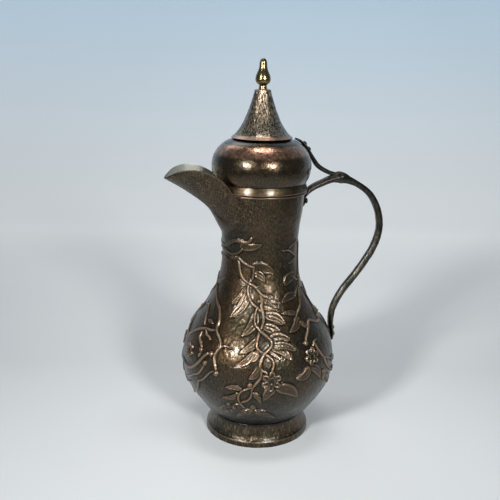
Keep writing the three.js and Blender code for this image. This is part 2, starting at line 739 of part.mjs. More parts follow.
function lidSpire() {
  const flare = new THREE.Path()
    .moveTo(SPIRE_FOOT_RADIUS, SPIRE_FOOT)
    .bezierCurveTo(27, 324.3, 21.6, 331.5, 17.8, 339.6)
    .bezierCurveTo(14.2, 347.5, 10.6, 358, SPIRE_TOP_RADIUS + 0.6, SPIRE_TOP - 1.6);
  const outer = [[SPIRE_FOOT_RADIUS, SPIRE_FOOT], ...moved(traced(flare, 4), SHEET * 0.5)];
  const top = SPIRE_TOP + 0.4;
  const hole = TANG_RADIUS + SEAM;
  const outline = [
    ...outer,
    [SPIRE_TOP_RADIUS - 1, top - 0.4],
    [SPIRE_TOP_RADIUS - 3, top],
    [hole, top],
    [hole, top - 1.6],
    [SPIRE_TOP_RADIUS - 1.6, top - 1.8],
    ...moved(traced(flare, 2), -SHEET * 0.5).reverse(),
  ];
  return geometryOf(solidOf(turned(outline)).subtract(domeCutter()));
}

// Brass finial, turned with a tang that passes through the top of the spire
function finial() {
  const foot = SPIRE_TOP + 0.4 + SEAM;
  const bud = new THREE.Path()
    .moveTo(TANG_RADIUS, foot)
    .lineTo(4.4, foot)
    .bezierCurveTo(4.2, foot + 1.4, 3.4, foot + 2.6, 4.2, foot + 4)
    .bezierCurveTo(7, foot + 5.4, 8.2, foot + 7.4, 7.6, foot + 10)
    .bezierCurveTo(7, foot + 15, 4.2, foot + 17, 3.9, foot + 23)
    .bezierCurveTo(3.8, FINIAL_TOP - 3, 2.6, FINIAL_TOP, 0, FINIAL_TOP);
  const tangEnd = foot - 6;
  return turned([[0, tangEnd], [TANG_RADIUS, tangEnd], ...traced(bud, 4)], 16);
}

// Burr that the tang is riveted over, inside the spire
function finialBurr() {
  const top = SPIRE_TOP + 0.4 - 1.8 - SEAM;
  return turned(
    [
      [TANG_RADIUS + SEAM, top - 1.4],
      [4, top - 1.4],
      [4, top],
      [TANG_RADIUS + SEAM, top],
    ],
    20,
  );
}

// Strap stations: from its leaf-shaped end on the dome, down the dome and out to the eye
const STRAP_STATIONS = [
  { x: 35.4, z: 320.4, wide: 4, thick: 2.4 },
  { x: 39.8, z: 318.4, wide: 9, thick: 3.0 },
  { x: 45.2, z: 314.2, wide: 10.4, thick: 3.4 },
  { x: 52.4, z: 303.6, wide: 8.4, thick: 4.2 },
  { x: 61.0, z: 291.8, wide: 7.6, thick: 5.0 },
  { x: 73.0, z: 284.8, wide: EYE_WIDTH, thick: 4.8 },
  { x: 84.6, z: 281.4, wide: EYE_WIDTH, thick: 4.4 },
];
const STRAP_STEPS = 24;

function lidStrap(rivets) {
  const bar = forgedBar(STRAP_STATIONS, STRAP_STEPS).add(barAtHinge(EYE_RADIUS, EYE_WIDTH));
  const pinHole = barAtHinge(PIN_RADIUS + RUNNING_FIT, EYE_WIDTH + 2);
  return geometryOf(cutBy(bar, [domeCutter(), pinHole, ...drilled(rivets)]));
}

// Pin through the knuckle and the strap's eye, with a small domed head at each end
function hingePin() {
  const cheek = KNUCKLE_WIDTH / 2 + SEAM;
  const head = PIN_RADIUS + 1.1;
  const half = [
    [0, cheek + 1.2],
    [head * 0.6, cheek + 1.0],
    [head, cheek + 0.4],
    [head, cheek],
    [PIN_RADIUS, cheek],
  ];
  const outline = [...half.map(([r, y]) => [r, -y]), ...half.slice().reverse()];
  return turned(outline, EYE_FACETS).rotateX(-Math.PI / 2).translate(HINGE.x, 0, HINGE.y);
}

// Assembly
const HANDLE_RIVET = { radius: 1.7, head: 3.2, dome: 2.4 };
const PAD_RIVET = { radius: 1.6, head: 2.7, dome: 1.5 };
const STRAP_RIVET = { radius: 1.4, head: 2.4, dome: 1.4 };

const neckRivet = new Rivet(HANDLE_RIVET, { x: 48.7, z: 254.8, tilt: 0, grip: 5.65 });
const padRivets = [
  new Rivet(PAD_RIVET, { x: 86.1, z: 109.4, tilt: 0.1, grip: 10.3 }),
  new Rivet(PAD_RIVET, { x: 86.9, z: 101.6, tilt: 0.05, grip: 8.85 }),
];
const strapRivets = [
  new Rivet(STRAP_RIVET, { x: 46.1, z: 315.7, tilt: 0.72, grip: 6.5 }),
  new Rivet(STRAP_RIVET, { x: 50.8, z: 309.8, tilt: 0.57, grip: 6.1 }),
];
const handleRivets = [neckRivet, ...padRivets];

const jug = new THREE.Group();
jug.name = "jug";
jug.add(
  piece("foot_ring", footRing(), PATINA),
  piece("base_disc", baseDisc(), PATINA),
  piece("belly_shell", bellyShell(padRivets), PATINA),
  piece("neck_shell", neckShell([neckRivet]), PATINA),
  piece("rim_wire", rimWire(), PATINA),
  piece("spout", spout(), PATINA),
  piece("handle", handle(handleRivets), DARK_COPPER),
  neckRivet.mesh("handle_rivet_upper", DARK_COPPER),
  padRivets[0].mesh("handle_rivet_lower_a", DARK_COPPER),
  padRivets[1].mesh("handle_rivet_lower_b", DARK_COPPER),
  piece("hinge_pin", hingePin(), DARK_COPPER),
);

const lid = new THREE.Group();
lid.name = "lid";
lid.add(
  piece("lid_band", lidBand(), PATINA),
  piece("lid_bezel", lidBezel(), PATINA),
  piece("lid_dome", lidDome(strapRivets), PATINA),
  piece("lid_spire", lidSpire(), PATINA),
  piece("finial", finial(), BRASS),
  piece("finial_burr", finialBurr(), BRASS),
  piece("lid_strap", lidStrap(strapRivets), DARK_COPPER),
  strapRivets[0].mesh("strap_rivet_upper", DARK_COPPER),
  strapRivets[1].mesh("strap_rivet_lower", DARK_COPPER),
);

// The origin is on the ground, midway between the spout's tip and the back of the handle.
const ewer = new THREE.Group();
ewer.add(jug, lid);
const reach = new THREE.Box3().setFromObject(ewer);
ewer.position.x = -(reach.min.x + reach.max.x) / 2;

export default ewer;
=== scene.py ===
import math

import bpy
import numpy as np
from mathutils import Matrix, Vector


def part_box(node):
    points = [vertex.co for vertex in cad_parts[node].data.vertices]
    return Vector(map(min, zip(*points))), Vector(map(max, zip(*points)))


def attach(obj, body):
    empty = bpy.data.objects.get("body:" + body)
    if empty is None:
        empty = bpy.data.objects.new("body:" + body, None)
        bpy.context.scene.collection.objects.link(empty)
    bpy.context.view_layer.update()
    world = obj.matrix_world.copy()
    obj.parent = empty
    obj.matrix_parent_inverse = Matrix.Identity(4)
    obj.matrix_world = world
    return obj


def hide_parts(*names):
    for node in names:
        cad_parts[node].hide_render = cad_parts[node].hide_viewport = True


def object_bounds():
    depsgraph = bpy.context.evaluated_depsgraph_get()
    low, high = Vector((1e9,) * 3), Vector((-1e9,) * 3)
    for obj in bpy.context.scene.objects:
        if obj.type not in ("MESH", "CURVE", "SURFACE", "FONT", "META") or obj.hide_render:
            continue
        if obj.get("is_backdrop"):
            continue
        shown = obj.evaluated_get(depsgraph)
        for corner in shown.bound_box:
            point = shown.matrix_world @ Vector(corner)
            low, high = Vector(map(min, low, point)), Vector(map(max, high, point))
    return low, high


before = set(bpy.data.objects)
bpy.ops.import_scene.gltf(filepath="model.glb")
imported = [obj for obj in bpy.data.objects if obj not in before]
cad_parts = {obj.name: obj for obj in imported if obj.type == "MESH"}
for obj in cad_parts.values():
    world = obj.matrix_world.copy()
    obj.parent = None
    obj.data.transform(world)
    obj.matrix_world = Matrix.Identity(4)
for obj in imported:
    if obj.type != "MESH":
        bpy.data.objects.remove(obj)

cad_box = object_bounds()
MM = 0.001
foot_low, foot_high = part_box("foot_ring")
AXIS = np.array([(foot_low.x + foot_high.x) / 2 / MM, 0, 0])


# Curves and noise

def trace(start, *pieces, count=24):
    """Points along a path of (radius, height): two numbers are a line's end, six a cubic's."""
    points = [np.array(start, float)]
    for piece in pieces:
        a, rest = points[-1], np.array(piece, float).reshape(-1, 2)
        if len(rest) == 1:
            points.append(rest[0])
            continue
        b, c, d = rest
        for t in np.linspace(0, 1, count + 1)[1:]:
            s = 1 - t
            points.append(a * s**3 + 3 * b * s * s * t + 3 * c * s * t * t + d * t**3)
    return np.array(points)


def resampled(points, step):
    """The same path with its points evenly spaced."""
    reach = np.r_[0, np.cumsum(np.linalg.norm(np.diff(points, axis=0), axis=1))]
    at = np.linspace(0, reach[-1], max(2, round(reach[-1] / step) + 1))
    return np.stack([np.interp(at, reach, axis) for axis in points.T], -1)


def spline(points, count):
    """A centripetal Catmull-Rom curve through the points, sampled evenly by point number."""
    p = np.array(points, float)
    p = np.vstack([2 * p[0] - p[1], p, 2 * p[-1] - p[-2]])
    gap = np.maximum(np.sqrt(np.linalg.norm(np.diff(p, axis=0), axis=1)), 1e-6)
    at = np.linspace(0, len(p) - 3, count)
    k = np.minimum(at.astype(int), len(p) - 4)
    t = (at - k)[:, None]
    x0, x1, x2, x3 = (p[k + i] for i in range(4))
    d0, d1, d2 = (gap[k + i][:, None] for i in range(3))
    m1 = ((x1 - x0) / d0 - (x2 - x0) / (d0 + d1) + (x2 - x1) / d1) * d1
    m2 = ((x2 - x1) / d1 - (x3 - x1) / (d1 + d2) + (x3 - x2) / d2) * d1
    h = t * t * (3 - 2 * t)
    return x1 * (1 - h) + x2 * h + m1 * t * (1 - t) ** 2 - m2 * t * t * (1 - t)


def step(low, high, x):
    """Rises smoothly from 0 at low to 1 at high."""
    t = np.clip((x - low) / (high - low), 0, 1)
    return t * t * (3 - 2 * t)


def peak(x, at, width):
    """1 at a value, and falling off smoothly within a width on both sides."""
    return np.exp(-(((x - at) / width) ** 2))


def grain(points, size, seed):
    """Smooth value noise from -1 to 1 at points; size is the length of its cells along X, Y and Z."""
    q = points / np.array(size, float) + 31.7 * (seed + 1)
    cell = np.floor(q).astype(np.int64)
    f = q - cell
    f = f * f * (3 - 2 * f)
    total = np.zeros(len(q))
    for corner in np.ndindex(2, 2, 2):
        c = cell + corner
        mixed = (c[:, 0] * 73856093) ^ (c[:, 1] * 19349663) ^ (c[:, 2] * 83492791)
        value = ((mixed & 0xFFFFFF) * 1103515245 + 12345 >> 7) % 10007 / 5003.5 - 1
        total += value * np.prod(np.where(corner, f, 1 - f), axis=1)
    return total


# Objects

def add_piece(name, points, faces, materials, body, nodes=(), values=None, second=0, sharp=40):
    """A mesh in the row frame that rides on a body. The last `second` faces take material 1."""
    mesh = bpy.data.meshes.new(name)
    mesh.from_pydata(((points + AXIS) * MM).tolist(), [], faces)
    for key, value in (values or {}).items():
        mesh.attributes.new(key, "FLOAT", "POINT").data.foreach_set("value", value.astype(np.float32))
    for material in materials:
        mesh.materials.append(material)
    if second:
        index = np.zeros(len(faces), np.int32)
        index[-second:] = 1
        mesh.polygons.foreach_set("material_index", index)
    mesh.shade_smooth()
    mesh.set_sharp_from_angle(angle=math.radians(sharp))
    mesh.validate()
    obj = bpy.data.objects.new(name, mesh)
    bpy.context.scene.collection.objects.link(obj)
    if body:
        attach(obj, body)
    if nodes:
        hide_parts(*nodes)
    return obj


def numbered(rows, columns, start=0):
    """A grid of vertex numbers."""
    return start + np.arange(rows * columns).reshape(rows, columns)


def closed(ids):
    """A grid of vertex numbers with its first column again at the end."""
    return np.column_stack([ids, ids[:, 0]])


def quads(ids, inward=False):
    """Faces between neighbours in a grid of vertex numbers, whose rows go up and columns go round."""
    a, b, c, d = ids[:-1, :-1], ids[:-1, 1:], ids[1:, 1:], ids[1:, :-1]
    return np.stack([a, d, c, b] if inward else [a, b, c, d], -1).reshape(-1, 4).tolist()


def grid_normals(grid, wrap_columns=True):
    """Outward normals of a grid of points, rows upwards and columns round."""
    up = np.gradient(grid, axis=0)
    if wrap_columns:
        around = np.roll(grid, -1, axis=1) - np.roll(grid, 1, axis=1)
    else:
        around = np.gradient(grid, axis=1)
    normal = np.cross(around, up)
    return normal / np.maximum(np.linalg.norm(normal, axis=-1, keepdims=True), 1e-9)


def revolved(outline, facets, texture=None):
    """Points and faces of a turned solid. Its outline runs up the outside. A ring's outline closes on
    itself, and one that starts and ends on the axis gets a pole at each end."""
    outline = np.array(outline, float)
    solid = outline[0, 0] < 1e-6
    ring = outline[1:-1] if solid else outline
    turn = np.linspace(0, 2 * math.pi, facets, endpoint=False)
    grid = np.stack([ring[:, :1] * np.cos(turn), ring[:, :1] * np.sin(turn),
                     np.repeat(ring[:, 1:], facets, axis=1)], -1)
    if texture is not None:
        flat = grid.reshape(-1, 3)
        lift = texture(flat, np.hypot(flat[:, 0], flat[:, 1])).reshape(grid.shape[:2])
        grid = grid + grid_normals(grid) * lift[..., None]
    points = grid.reshape(-1, 3)
    ids = closed(numbered(len(ring), facets))
    faces = quads(ids if solid else np.vstack([ids, ids[:1]]))
    if solid:
        low_pole, high_pole = len(points), len(points) + 1
        points = np.vstack([points, [[0, 0, outline[0, 1]], [0, 0, outline[-1, 1]]]])
        low, high = ids[0].tolist(), ids[-1].tolist()
        for j in range(facets):
            faces += [[low_pole, low[j + 1], low[j]], [high_pole, high[j], high[j + 1]]]
    return points, faces


def capped_tube(grid, inward=False):
    """Points and faces of a solid from rings of points along it, with flat ends."""
    ids = numbered(*grid.shape[:2])
    ends = [ids[0, ::-1].tolist(), ids[-1].tolist()]
    if inward:
        ends = [end[::-1] for end in ends]
    return grid.reshape(-1, 3), quads(closed(ids), inward) + ends


def blank(points, faces):
    """A solid that is still to be cut, or that cuts another."""
    return add_piece("blank", points, faces, [], None)


def boolean(obj, operation, *others):
    """Joins other objects to an object's mesh, or takes them away from it, and removes them."""
    for other in others:
        tool = obj.modifiers.new("boolean", "BOOLEAN")
        tool.operation, tool.solver, tool.object = operation, "EXACT", other
        bpy.context.view_layer.update()
        result = obj.evaluated_get(bpy.context.evaluated_depsgraph_get())
        mesh = bpy.data.meshes.new_from_object(result)
        obj.modifiers.clear()
        obj.data = mesh
        bpy.data.objects.remove(other)
    obj.data.shade_smooth()
    obj.data.set_sharp_from_angle(angle=math.radians(35))


# Materials

class Shader:
    """Short words for the nodes of one material."""

    def __init__(self, name, **inputs):
        self.material = bpy.data.materials.new(name)
        self.material.use_nodes = True
        self.tree = self.material.node_tree
        self.bsdf = self.tree.nodes["Principled BSDF"]
        self.fill(self.bsdf, {"Coat_Roughness": 0.17, **inputs})
        self.place = self.node("ShaderNodeTexCoord").outputs["Object"]

    def put(self, value, socket):
        if isinstance(value, bpy.types.NodeSocket):
            self.tree.links.new(value, socket)
        else:
            socket.default_value = value

    def fill(self, node, inputs):
        for name, value in inputs.items():
            self.put(value, node.inputs[name.replace("_", " ")])

    def node(self, kind, **inputs):
        """A new node, with values or links for its inputs of those names."""
        node = self.tree.nodes.new(kind)
        self.fill(node, inputs)
        return node

    def texture(self, kind, scale, stretch, **inputs):
        """A procedural texture laid in the object's own space, stretched along X, Y and Z."""
        place = self.node("ShaderNodeMapping", Vector=self.place, Scale=stretch).outputs["Vector"]
        return self.node(kind, Vector=place, Scale=scale, **inputs)

    def noise(self, scale, detail, stretch=(1, 1, 1)):
        node = self.texture("ShaderNodeTexNoise", scale, stretch, Detail=detail, Roughness=0.55)
        return node.outputs["Fac"]

    def cracks(self, scale, stretch):
        """The distance to the nearest line of a net of cracks."""
        node = self.texture("ShaderNodeTexVoronoi", scale, stretch)
        node.feature = "DISTANCE_TO_EDGE"
        return node.outputs["Distance"]

    def value(self, name):
        node = self.node("ShaderNodeAttribute")
        node.attribute_name = name
        return node.outputs["Fac"]

    def coordinates(self):
        return self.node("ShaderNodeSeparateXYZ", Vector=self.place).outputs

    def ramp(self, factor, *stops):
        """Maps a factor through (position, value) stops, each value a number or a colour."""
        node = self.node("ShaderNodeValToRGB", Fac=factor)
        elements = node.color_ramp.elements
        while len(elements) < len(stops):
            elements.new(0.5)
        for element, (position, value) in zip(elements, stops):
            element.position = position
            colour = (value,) * 3 if isinstance(value, (int, float)) else value
            element.color = (*colour, 1)
        return node.outputs["Color"]

    def maths(self, operation, result, *others):
        for other in others:
            node = self.node("ShaderNodeMath")
            node.operation = operation
            self.put(result, node.inputs[0])
            self.put(other, node.inputs[1])
            result = node.outputs["Value"]
        return result

    def mix(self, factor, a, b):
        node = self.node("ShaderNodeMix")
        node.data_type = "RGBA"
        self.put(factor, node.inputs["Factor"])
        for value, socket in ((a, node.inputs[6]), (b, node.inputs[7])):
            self.put(value if isinstance(value, bpy.types.NodeSocket) else (*value, 1), socket)
        return node.outputs[2]

    def bump(self, height, distance, strength=1.0, **below):
        node = self.node("ShaderNodeBump", Height=height, Distance=distance, Strength=strength, **below)
        return node.outputs["Normal"]

    def finish(self, colour, roughness, **more):
        self.fill(self.bsdf, {"Base_Color": colour, "Roughness": roughness, **more})
        if "Normal" in more:
            self.fill(self.bsdf, {"Coat_Normal": more["Normal"]})
        return self.material


DARK = (0.007, 0.007, 0.005)
# Soot-black, also the colour of painted shade in grooves and under parts
SHADE_AND_SOOT = (0.008, 0.009, 0.007)
OLIVE = (0.034, 0.031, 0.018)
BROWN = (0.052, 0.037, 0.019)
RUSSET = (0.084, 0.046, 0.021)
COPPER = (0.36, 0.235, 0.145)
PINK_COPPER = (0.48, 0.25, 0.16)
SLATE = (0.022, 0.026, 0.021)
GOLD = (0.2, 0.14, 0.075)
BEIGE = (0.37, 0.305, 0.225)


def patina(name, strokes, mark, *, shine, beaten, warmth=0.5, bump_depth=0.00008, hatched=False, coat=0.45,
           bare=COPPER, flecks=COPPER, flecks_from=0.56, dents=(1, 1, 1)):
    """Copper with a brown and olive patina, chased all over with marks of the given stretch. It is bare
    where the mesh is worn, and soot-dark where the mesh says so, which is also painted shade. A hatched one
    goes slate-grey low on the belly, and has fine gold lines where the mesh says so."""
    s = Shader(name, Metallic=0.98, Coat_Weight=coat)
    speck = s.noise(mark, 3, strokes)
    ground = s.ramp(s.noise(22, 4), (0.33, OLIVE), (0.5, BROWN), (0.68, RUSSET))
    if hatched:
        ground = s.mix(s.ramp(s.coordinates()["Z"], (0.04, 0.85), (0.11, 0.0)), ground, SLATE)
        ground = s.mix(s.maths("MULTIPLY", s.value("hatch"), 0.45), ground, DARK)
    ground = s.mix(s.ramp(speck, (0.36, 0.6), (0.5, 0.0)), ground, DARK)
    flecked = s.ramp(speck, (flecks_from, 0.0), (flecks_from + 0.16, 0.5 * warmth))
    colour = s.mix(flecked, ground, flecks)
    if hatched:
        line = s.ramp(s.cracks(430, (1, 1, 0.5)), (0.02, 1.0), (0.11, 0.0))
        patchy = s.ramp(s.noise(200, 2), (0.35, 0.2), (0.65, 0.75))
        colour = s.mix(s.maths("MULTIPLY", line, patchy, s.value("hatch")), colour, GOLD)
    # Painted shade with soot: darkened where the mesh marks grooves, hollows and shaded places under and
    # between parts
    colour = s.mix(s.value("deep"), colour, SHADE_AND_SOOT)
    colour = s.mix(s.value("worn"), colour, bare)
    roughness = s.ramp(s.noise(160, 3, strokes), (0.3, shine), (0.75, shine + 0.14))
    fine = s.bump(speck, bump_depth, 0.8)
    hollows = s.bump(s.noise(330, 2, dents), beaten, Normal=fine)
    return s.finish(colour, roughness, Normal=s.bump(s.noise(90, 2), 0.00025, 0.5, Normal=hollows))


def tin(name):
    """Old tin lining: grey, dull and a little stained."""
    s = Shader(name, Metallic=0.9)
    stain = s.noise(60, 4)
    colour = s.ramp(stain, (0.3, (0.17, 0.165, 0.125)), (0.5, (0.3, 0.31, 0.26)), (0.75, (0.38, 0.4, 0.35)))
    roughness = s.ramp(stain, (0.3, 0.42), (0.7, 0.55))
    return s.finish(colour, roughness, Normal=s.bump(s.noise(300, 3), 0.0001))


def forged(name):
    """Forged and filed copper bar, nearly black in the hollows of its marks."""
    s = Shader(name, Metallic=0.97, Coat_Weight=0.1)
    mark = s.noise(240, 3, (1, 1, 0.35))
    colour = s.ramp(mark, (0.3, (0.022, 0.021, 0.018)), (0.52, (0.05, 0.045, 0.036)),
                    (0.75, (0.12, 0.095, 0.07)))
    return s.finish(colour, s.ramp(mark, (0.3, 0.28), (0.75, 0.42)), Normal=s.bump(mark, 0.0002, 0.7))


def brass(name):
    """Polished brass with the fine lines of the lathe."""
    s = Shader(name, Metallic=1.0)
    cloud = s.noise(90, 4)
    colour = s.ramp(cloud, (0.3, (0.07, 0.06, 0.03)), (0.55, (0.24, 0.18, 0.085)), (0.8, (0.4, 0.3, 0.15)))
    lines = s.bump(s.noise(2600, 2, (0.03, 0.03, 1)), 0.0001)
    return s.finish(colour, s.ramp(cloud, (0.3, 0.24), (0.8, 0.18)), Normal=lines)


BODY_COPPER = patina("body_copper", (1, 1, 0.5), 800, hatched=True, shine=0.33, coat=0.4, beaten=0.0003)
LID_COPPER = patina("lid_copper", (1, 1, 1.6), 900, warmth=0.9, shine=0.2, bare=PINK_COPPER, beaten=0.0001)
BAND_COPPER = patina("band_copper", (0.3, 0.3, 1), 500, warmth=0.2, shine=0.33, bump_depth=0.00004,
                     coat=0.35, beaten=0.00006)
SPIRE_COPPER = patina("spire_copper", (1, 1, 0.1), 900, warmth=1.9, shine=0.28, bump_depth=0.00015,
                      bare=PINK_COPPER, flecks=BEIGE, flecks_from=0.43, beaten=0.0003, dents=(1, 1, 0.5))
FOOT_COPPER = patina("foot_copper", (1, 1, 0.3), 600, warmth=1.2, shine=0.3, bump_depth=0.0001,
                     beaten=0.0004)
TIN = tin("tin_lining")
FORGED = forged("forged_copper")
BRASS = brass("polished_brass")


# The belly and neck: the profile's outer line is the top of the relief, and the ground lies below it.

RIM_HEIGHT = 268.5
SEAM_ANGLE = 50  # from the spout's middle to its seam at the rim
SEAM_DEPTH = 46.5
SEAM_POWER = 2.5
RELIEF = 1.75
SKIN = 0.12  # the hammered surface stays this far inside the profile where it is plain
GROOVE_WIDTH = 0.95  # of the chased line round every form
LEAF_DISH = 0.4
VEIN_GAP = 3.2
SHEET = 1.3
belly_line = trace(
    (43.5, 19.2),
    (57, 27, 84, 52, 84, 82),
    (84, 108, 77, 119.5, 60, 142.6),
    (50, 157.5, 41.2, 176, 41.2, 203),
    (41.2, 228, 44.4, 246, 45.3, 263.5),
    (45.3, RIM_HEIGHT),
)


def relief_share(z):
    """How tall the relief is at a height, as a share of its height on the belly."""
    return step(28, 42, z) * (1 - step(227, 250, z)) * (1 - 0.3 * step(130, 165, z))


def inset(z):
    return SKIN + (RELIEF - SKIN) * relief_share(z)


def ground(angle, z):
    """Points and outward normals on the ground between the vines."""
    angle, z = np.broadcast_arrays(np.radians(angle), np.asarray(z, float))
    heights, radii = belly_line[:, 1], belly_line[:, 0]
    slope = np.interp(z, heights, np.gradient(radii, heights))
    nr = 1 / np.sqrt(1 + slope**2)
    nz = -slope * nr
    r = np.interp(z, heights, radii) - inset(z) * nr
    c, s = -np.cos(angle), -np.sin(angle)
    points = np.stack([r * c, r * s, z - inset(z) * nz], -1)
    return points, np.stack([nr * c, nr * s, nz], -1)


def seam_top(angle):
    """Height of the spout's seam at an angle, or of the rim beyond the seam's ends."""
    share = np.minimum(np.abs(angle) / SEAM_ANGLE, 1)
    return RIM_HEIGHT - SEAM_DEPTH * np.sqrt(1 - share**SEAM_POWER)


# Raised work. Every form is (angle, height) points on the jug, drawn in order: a later form passes
# over the earlier ones and is outlined by a chased groove.

class Relief:
    def __init__(self, points):
        self.points = points
        self.height = np.zeros(len(points))
        self.groove = np.zeros(len(points))

    def draw(self, path, widths, section):
        """Raises a form along a 3-D path. section gives its height in mm from the share of its
        half-width beside the path and the share of its length along it."""
        margin = widths.max() + 3
        near = np.flatnonzero(
            np.all((self.points > path.min(0) - margin) & (self.points < path.max(0) + margin), axis=1))
        start, run = path[:-1], np.diff(path, axis=0)
        offset = self.points[near][:, None] - start
        t = np.clip((offset * run).sum(-1) / np.maximum((run**2).sum(-1), 1e-9), 0, 1)
        distance = np.linalg.norm(offset - t[..., None] * run, axis=-1)
        k = distance.argmin(1)
        pick = np.arange(len(near)), k
        distance, along = distance[pick], (k + t[pick]) / len(run)
        width = np.interp(along * len(run), np.arange(len(widths)), widths)
        beside = distance / np.maximum(width, 1e-3)
        outside = np.maximum(distance - width, 0)
        old, beyond = self.height[near], beside >= 1
        line = peak(outside, 0, GROOVE_WIDTH) * (outside < 2.4) * (1 - 0.5 * step(0.3, 0.9, old / RELIEF))
        raised = np.where(beyond, 0, section(np.minimum(beside, 1), along))
        self.height[near] = np.where(beyond, old - 0.4 * line * (old + 0.6), np.maximum(raised, 0.25 * old))
        self.groove[near] = np.where(
            beyond, np.maximum(self.groove[near], line), self.groove[near] * (beside > 0.8))

    def stem(self, width, *points):
        path = spline(ground(*np.array(points, float).T)[0], 6 * len(points))
        widths = width / 2 * (1 - 0.35 * np.abs(np.linspace(-1, 1, len(path))) ** 4)
        self.draw(path, widths, lambda beside, _: RELIEF * (1 - beside**2.2) ** 0.65)

    def leaf(self, base, tip, width, bend=0.0):
        """A dished and veined leaf with a raised rim and midrib."""
        ends, normals = ground(*np.array([base, tip], float).T)
        along = ends[1] - ends[0]
        length = np.linalg.norm(along)
        sideways = np.cross(normals.mean(0), along)
        path = spline([ends[0], ends.mean(0) + bend * sideways, ends[1]], 37)
        u = np.linspace(0, 1, len(path))
        widths = width / 2 * 2.5 * u**0.55 * (1 - u) ** 0.8 + 0.25

        def section(beside, along):
            rim = peak(beside, 0.8, 0.2)
            rib = peak(beside * width, 0, 1.7) * (1 - 0.5 * along)
            across = along * length - beside * width * 0.5
            veins = np.cos(across * 2 * math.pi / VEIN_GAP) * step(0.1, 0.35, beside) * (1 - rim)
            level = 1 - LEAF_DISH * (1 - np.maximum(rim, rib)) + 0.06 * veins
            return RELIEF * level * (1 - beside**5) ** 0.6

        self.draw(path, widths, section)

    def landing(self, low, high, half_width):
        """A flat-topped patch, which the handle's lower end bears on."""
        path, _ = ground([low[0]] * 12, np.linspace(low[1], high[1], 12))
        self.draw(path, np.full(12, float(half_width)),
                  lambda beside, _: RELIEF * (1 - beside**10) ** 0.5)

    def spot(self, centre, radius, section):
        self.draw(np.stack([centre, centre + [0, 0, 0.01]]), np.full(2, float(radius)), section)

    def bud(self, at, radius):
        self.spot(ground(*at)[0], radius, lambda beside, _: RELIEF * (1 - beside**2) ** 0.5)

    def flower(self, at, radius, petals, turn):
        """Round cupped petals about a sunken eye."""
        centre, normal = ground(*at)
        across = np.cross([0, 0, 1.0], normal)
        across /= np.linalg.norm(across)
        up = np.cross(normal, across)

        def cup(beside, _):
            return RELIEF * (0.42 + 0.58 * step(0.25, 0.7, beside)) * (1 - beside**5) ** 0.6

        for k in range(petals):
            way = math.radians(turn) + 2 * math.pi * k / petals
            out = (across * math.cos(way) + up * math.sin(way)) * radius
            self.draw(np.stack([centre + out * 0.58, centre + out * 0.74]), np.full(2, radius * 0.33), cup)
        self.spot(centre, radius * 0.42,
                  lambda beside, _: RELIEF * (0.12 + 0.55 * peak(beside, 0.82, 0.15)))


